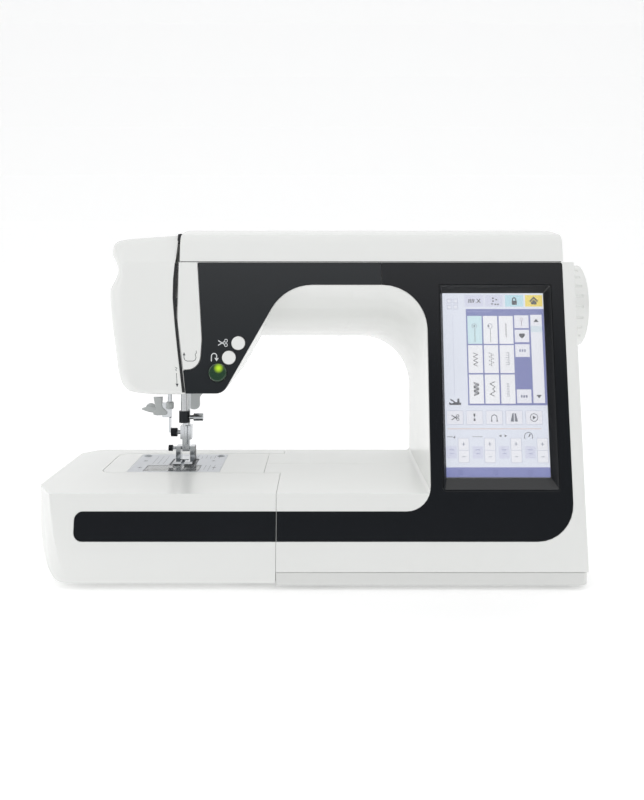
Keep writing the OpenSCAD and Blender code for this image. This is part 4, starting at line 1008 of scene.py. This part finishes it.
# Five function keys
for a0, a1 in ((0.02, 0.185), (0.21, 0.375), (0.4, 0.565), (0.59, 0.757), (0.782, 0.948)):
    picture.box(a0, 0.645, a1, 0.722, line_grey, 1, 0.008)
    picture.box(a0 + 0.005, 0.6475, a1 - 0.005, 0.7195, keyface, 2, 0.006)
for side in (-1, 1):
    picture.ring(0.13, 0.6835 + side * 0.009, 0.012, 0.006, dark, 3, sides=12)
    picture.line([(0.12, 0.6835 + side * 0.005), (0.07, 0.6835 - side * 0.013)], 0.009, dark, 3)
picture.box(0.282, 0.662, 0.3, 0.675, dark, 3)
picture.line([(0.291, 0.672), (0.291, 0.682)], 0.008, dark, 3)
picture.box(0.282, 0.688, 0.3, 0.702, dark, 3)
picture.ring(0.482, 0.684, 0.026, 0.008, slate, 3, 180, 360, 12)
picture.line([(0.456, 0.684), (0.456, 0.7)], 0.008, slate, 3)
picture.line([(0.508, 0.684), (0.508, 0.7)], 0.008, slate, 3)
picture.box(0.449, 0.699, 0.463, 0.705, dark, 3)
picture.box(0.501, 0.699, 0.515, 0.705, dark, 3)
for side in (-1, 1):
    picture.area([(0.674 + side * 0.004, 0.66), (0.674 + side * 0.016, 0.66), (0.674 + side * 0.036, 0.705),
                  (0.674 + side * 0.004, 0.705)], "#6A6E7C", 3)
picture.ring(0.865, 0.6835, 0.036, 0.006, dark, 3, sides=24)
picture.area([(0.853, 0.672), (0.853, 0.695), (0.884, 0.6835)], dark, 3)
picture.line([(0.03, 0.744), (0.93, 0.744)], 0.0045, "#E3B49A", 1)
# Four adjusters: symbol, value box and plus and minus keys
for k in range(4):
    a = 0.012 + 0.252 * k
    picture.box(a, 0.836, a + 0.1, 0.902, pale, 1)
    for m in range(2):
        picture.box(a + 0.03 + 0.006 * m, 0.852 + 0.02 * m, a + 0.07, 0.858 + 0.02 * m, "#B4B9DA", 2)
    picture.box(a + 0.112, 0.792, a + 0.222, 0.925, line_grey, 1, 0.01)
    picture.box(a + 0.117, 0.7945, a + 0.217, 0.9225, "#F6F7FE", 2, 0.008)
    picture.line([(a + 0.117, 0.858), (a + 0.217, 0.858)], 0.004, line_grey, 3)
    picture.line([(a + 0.152, 0.825), (a + 0.182, 0.825)], 0.006, faint, 3)
    picture.line([(a + 0.167, 0.816), (a + 0.167, 0.834)], 0.008, faint, 3)
    picture.line([(a + 0.152, 0.892), (a + 0.182, 0.892)], 0.006, faint, 3)
for k in range(5):
    picture.line([(0.02 + 0.012 * k, 0.789), (0.026 + 0.012 * k, 0.785 - 0.001 * k)], 0.006, slate, 1)
picture.area([(0.08, 0.792), (0.1, 0.778), (0.1, 0.796)], slate, 1)
for k in range(4):
    picture.line([(0.268 + 0.024 * k, 0.786), (0.284 + 0.024 * k, 0.786)], 0.006, dark, 1)
picture.area([(0.52, 0.781), (0.545, 0.775), (0.545, 0.788)], dark, 1)
picture.area([(0.6, 0.781), (0.575, 0.775), (0.575, 0.788)], dark, 1)
picture.ring(0.805, 0.786, 0.04, 0.007, slate, 1, 150, 390, 18)
picture.line([(0.805, 0.787), (0.822, 0.772)], 0.01, dark, 2)
# Bar along the bottom with three round symbols
picture.box(0, 0.948, 1, 1, "#7980BE", 1)
for a in (0.145, 0.48, 0.81):
    picture.ring(a, 0.974, 0.021, 0.006, soft_violet, 2, sides=16)
picture.box(0.138, 0.967, 0.152, 0.982, soft_violet, 2)
picture.line([(0.47, 0.978), (0.49, 0.969)], 0.007, soft_violet, 2)
picture.box(0.802, 0.969, 0.818, 0.98, soft_violet, 2)

lcd, tree, shader = new_finish("backlit_liquid_crystal_display")
drawn = add(tree, "ShaderNodeVertexColor", {"layer_name": "ink"})
cloud = add(tree, "ShaderNodeTexNoise", {"Scale": 25, "Detail": 1}, {
    "Vector": add(tree, "ShaderNodeTexCoord").outputs["Object"]})
level = add(tree, "ShaderNodeMapRange", {"To Min": 0.93, "To Max": 1.0}, {"Value": cloud.outputs["Fac"]})
lit = add(tree, "ShaderNodeVectorMath", {"operation": "SCALE"}, {
    0: drawn.outputs["Color"], "Scale": level.outputs["Result"]})
shader.inputs["Base Color"].default_value = linear("#101114")
shader.inputs["Roughness"].default_value = 0.3
shader.inputs["Emission Strength"].default_value = 1.0
tree.links.new(lit.outputs["Vector"], shader.inputs["Emission Color"])
picture.finish("display_picture", lcd, "chassis", "display")

# ---- Power inlet and switch ----
# The inlet is a moulded black nylon socket with two steel pins, screwed in from inside. The
# rocker switch beside it is satin black and snaps into the casing.

inlet_y, inlet_z, pin_offset, pin_reach, socket_floor_x = 0.045, 0.053, 0.004, 0.0013, 0.2029
shaped_copy("power_inlet", "inlet_socket", [black_nylon, ground_steel], 0.4, 2,
            choose=lambda middle, normal: 1 if middle.x > socket_floor_x and math.hypot(
                middle.y - inlet_y, abs(middle.z - inlet_z) - pin_offset) < pin_reach else 0)
shaped_copy("power_switch", "rocker_switch", [bezel_black], 0.6, 2)

# ---- Lamp ----
# A small lens under the head covers the light board. It is moulded in clear acrylic with a
# frosted skin, which spreads the light, and clips in from below.

lens = clear_plastic("frosted_lamp_lens", "#F4F5EE", 0.4, 1.49)
lens_shader = lens.node_tree.nodes["Principled BSDF"]
lens_shader.inputs["Emission Color"].default_value = linear("#FFF8E8")
lens_shader.inputs["Emission Strength"].default_value = 0.4
shaped_copy("sewing_lamp", "lamp_lens_and_board", [lens, board_green], 0.3, 2,
            choose=lambda middle, normal: 1 if middle.z > 0.1581 else 0)

# ---- Free arm, needle plate and bobbin cover ----
# The free arm is a white ABS sleeve. Its needle plate is brushed stainless sheet with engraved
# guide lines, held by two screws, and a clear cover slides over the bobbin.

shaped_copy("free_arm_cover", "free_arm_sleeve", [white_abs], 0.6, 2,
            radius=lambda middle: 0.12 if middle.z > 0.0735 else None)
brushed_plate = turned_metal("brushed_stainless_plate", "#C6C9CE", 0.3, 0.5, (0.04, 1, 1))
shaped_copy("needle_plate", "stitch_plate", [brushed_plate], 0.25, 2)
shaped_copy("bobbin_cover", "clear_slide_cover", [polycarbonate], 0.2, 2)

engraving = Print(lambda a, b, level: (a, b, 75.02 + 0.01 * level), (0, 0, 1))
for k in range(6):
    x = -121 + 4.2 * k
    engraving.line([(x, 3 if k % 2 else -1), (x, 22)], 0.3, "#55585C")
    engraving.line([(x, 50), (x, 60 if k % 2 else 64)], 0.3, "#55585C")
for k in range(3):
    engraving.line([(-160 + 5 * k, 26), (-160 + 5 * k, 60)], 0.3, "#55585C")
for a, b in ((-169, 12), (-169, 40), (-104, 40), (-100, 12)):
    engraving.ring(a, b, 1.6, 0.35, grey_ink, sides=14)
    engraving.disc(a, b, 0.9, "#1E2022", 0, 12)
for k in range(7):
    engraving.line([(-168 + 4 * k, 2.2), (-168 + 4 * k, 4.2)], 0.3, "#55585C")
engraving.finish("plate_engraving", print_ink, "chassis", "brushed_plate")

# ---- Accessory table ----
# The hollow table slides onto the free arm. It is white ABS with rounded outer edges, and its
# black stripe continues the front panel. Four small rubber pads keep it level.


def table_edge(middle):
    """Edge radius in millimetres of the table at one place."""
    outside = middle.x < -0.2 or middle.y < front_y(middle.z * 1000) / 1000 + 0.002 or middle.y > 0.09
    if outside and middle.z > 0.072:
        return 2.4
    if outside and (middle.z > 0.063 or middle.z < 0.0355) and middle.x < -0.04:
        return 1.6
    return 0.12 if middle.z > 0.0735 else None


shaped_copy("accessory_table", "table_shell", [white_abs], 0.5, 4, radius=table_edge)
shaped_copy("table_feet", "table_pads", [foot_rubber], 0.4, 2)

# ---- Screws ----
# Pan-head steel screws hold the covers and the needle plate. They are zinc plated, with a
# cross recess, and each one is turned a little differently.

zinc = turned_metal("zinc_plated_steel", "#A9ADB2", 0.3, 0.4, (1, 1, 1))


def screw_facts(node):
    """Every screw of a CAD group: its seat, the way its head points, and its sizes, in metres."""
    work = bmesh.new()
    work.from_mesh(frame["nodes"][node].data)
    bmesh.ops.remove_doubles(work, verts=work.verts, dist=0.00001)
    left, found = set(work.verts), []
    while left:
        piece, edge = set(), [left.pop()]
        while edge:
            v = edge.pop()
            piece.add(v)
            near = {e.other_vert(v) for e in v.link_edges} & left
            left -= near
            edge += near
        low = Vector(min(v.co[k] for v in piece) for k in range(3))
        high = Vector(max(v.co[k] for v in piece) for k in range(3))
        centre, size = (low + high) / 2, high - low
        along = 2 if node == "plate_screws" else max(range(3), key=lambda k: size[k])
        off = {v: (v.co - centre - Vector([(v.co - centre)[k] * (k == along) for k in range(3)])).length
               for v in piece}
        wide = max(off.values())
        head = [v.co[along] for v in piece if off[v] > wide * 0.9]
        shank = min(d for d in off.values() if d > wide * 0.2)
        up = 1 if sum(head) / len(head) > centre[along] else -1
        centre[along] = min(head) if up > 0 else max(head)
        head_height = max(head) - min(head)
        found.append((centre, along, up, wide, head_height, shank, size[along] - head_height))
    work.free()
    # A fixed order, because each screw's own turn follows its number
    return sorted(found, key=lambda screw: tuple(screw[0]))


def screw_tree():
    """Pan-head screws on points: a dome with a cross recess on a shank, each turned at random."""
    tree = bpy.data.node_groups.new("pan_head_screws", "GeometryNodeTree")
    face = tree.interface
    face.new_socket("Geometry", in_out="INPUT", socket_type="NodeSocketGeometry")
    for label, kind in (("Head Radius", "NodeSocketFloat"), ("Head Height", "NodeSocketFloat"),
                        ("Shank Radius", "NodeSocketFloat"), ("Shank Length", "NodeSocketFloat"),
                        ("Lean", "NodeSocketVector"), ("Seed", "NodeSocketInt"),
                        ("Finish", "NodeSocketMaterial")):
        face.new_socket(label, in_out="INPUT", socket_type=kind)
    face.new_socket("Geometry", in_out="OUTPUT", socket_type="NodeSocketGeometry")
    given = add(tree, "NodeGroupInput").outputs

    def times(a, factor):
        return add(tree, "ShaderNodeMath", {"operation": "MULTIPLY", 1: factor}, {0: a}).outputs[0]

    def sized(x, y, z):
        return add(tree, "ShaderNodeCombineXYZ", {}, {"X": x, "Y": y, "Z": z}).outputs[0]

    flat = add(tree, "ShaderNodeMath", {"operation": "DIVIDE"}, {
        0: given["Head Height"], 1: given["Head Radius"]})
    ball = add(tree, "GeometryNodeMeshUVSphere", {"Segments": 28, "Rings": 14}, {
        "Radius": given["Head Radius"]})
    one = add(tree, "ShaderNodeMath", {"operation": "ADD", 0: 1.0, 1: 0.0}).outputs[0]
    dome = add(tree, "GeometryNodeTransform", {}, {
        "Geometry": ball.outputs["Mesh"], "Scale": sized(one, one, flat.outputs[0])})
    cuts = []
    for across in (0, 1):
        long, thin = times(given["Head Radius"], 1.15), times(given["Head Radius"], 0.24)
        bar = add(tree, "GeometryNodeMeshCube", {}, {
            "Size": sized(*((long, thin) if across else (thin, long)), given["Head Height"])})
        cuts.append(add(tree, "GeometryNodeTransform", {}, {
            "Geometry": bar.outputs["Mesh"],
            "Translation": sized(times(one, 0.0), times(one, 0.0), times(given["Head Height"], 0.95))}))
    wide = times(given["Head Radius"], 3.0)
    under = add(tree, "GeometryNodeMeshCube", {}, {"Size": sized(wide, wide, wide)})
    cuts.append(add(tree, "GeometryNodeTransform", {}, {
        "Geometry": under.outputs["Mesh"],
        "Translation": sized(times(one, 0.0), times(one, 0.0), times(given["Head Radius"], -1.5))}))
    cut = add(tree, "GeometryNodeMeshBoolean", {"operation": "DIFFERENCE"}, {
        "Mesh 1": dome.outputs["Geometry"]})
    for cutter in cuts:
        tree.links.new(cutter.outputs["Geometry"], cut.inputs["Mesh 2"])
    shank = add(tree, "GeometryNodeMeshCylinder", {"Vertices": 20}, {
        "Radius": given["Shank Radius"], "Depth": given["Shank Length"]})
    sunk = add(tree, "GeometryNodeTransform", {}, {
        "Geometry": shank.outputs["Mesh"],
        "Translation": sized(times(one, 0.0), times(one, 0.0), times(given["Shank Length"], -0.5))})
    screw = add(tree, "GeometryNodeJoinGeometry")
    tree.links.new(cut.outputs["Mesh"], screw.inputs["Geometry"])
    tree.links.new(sunk.outputs["Geometry"], screw.inputs["Geometry"])
    twist = add(tree, "FunctionNodeRandomValue", {
        "data_type": "FLOAT_VECTOR", 0: (0, 0, 0), 1: (0, 0, 6.28)}, {"Seed": given["Seed"]})
    placed = add(tree, "GeometryNodeInstanceOnPoints", {}, {
        "Points": given["Geometry"], "Instance": screw.outputs["Geometry"],
        "Rotation": twist.outputs["Value"]})
    turned = add(tree, "GeometryNodeTransform", {}, {
        "Geometry": placed.outputs["Instances"], "Rotation": given["Lean"]})
    real = add(tree, "GeometryNodeRealizeInstances", {}, {"Geometry": turned.outputs["Geometry"]})
    painted = add(tree, "GeometryNodeSetMaterial", {}, {
        "Geometry": real.outputs["Geometry"], "Material": given["Finish"]})
    add(tree, "NodeGroupOutput", {}, {"Geometry": painted.outputs["Geometry"]})
    return tree


# How a head that points along one axis lies in the tree's own upright space
leans = {(0, -1): (0, -math.pi / 2, 0), (1, 1): (-math.pi / 2, 0, 0),
         (2, 1): (0, 0, 0), (2, -1): (math.pi, 0, 0)}
upright = {(0, -1): lambda p: (p.z, p.y, -p.x), (1, 1): lambda p: (p.x, -p.z, p.y),
           (2, 1): lambda p: (p.x, p.y, p.z), (2, -1): lambda p: (p.x, -p.y, -p.z)}
pan_heads = screw_tree()
for node in ("cover_screws", "plate_screws"):
    groups = {}
    for seat, along, up, *sizes in screw_facts(node):
        groups.setdefault((along, up, *[round(v, 5) for v in sizes]), []).append(seat)
    for number, ((along, up, *sizes), seats) in enumerate(groups.items()):
        points = bpy.data.meshes.new("screw_seats")
        points.from_pydata([upright[along, up](p) for p in seats], [], [])
        piece = new_piece(f"{node}_{number}", points)
        maker = piece.modifiers.new("screws", "NODES")
        maker.node_group = pan_heads
        sockets = {i.name: i.identifier for i in pan_heads.interface.items_tree if i.in_out == "INPUT"}
        for label, value in zip(("Head Radius", "Head Height", "Shank Radius", "Shank Length"), sizes):
            maker[sockets[label]] = value
        maker[sockets["Lean"]] = leans[along, up]
        maker[sockets["Seed"]] = 7 + number
        maker[sockets["Finish"]] = zinc
        settle(piece)
        for face in piece.data.polygons:
            face.use_smooth = True
        piece.data.set_sharp_from_angle(angle=math.radians(32))
        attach(piece, "chassis")
        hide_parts(node)

# ---- Handwheel ----
# The wheel is a white ABS moulding pressed on the main shaft, dished outside, with a ring of
# moulded grip ribs round its rim.

shaped_copy("handwheel", "hand_wheel", [white_abs], 0.6, 3)
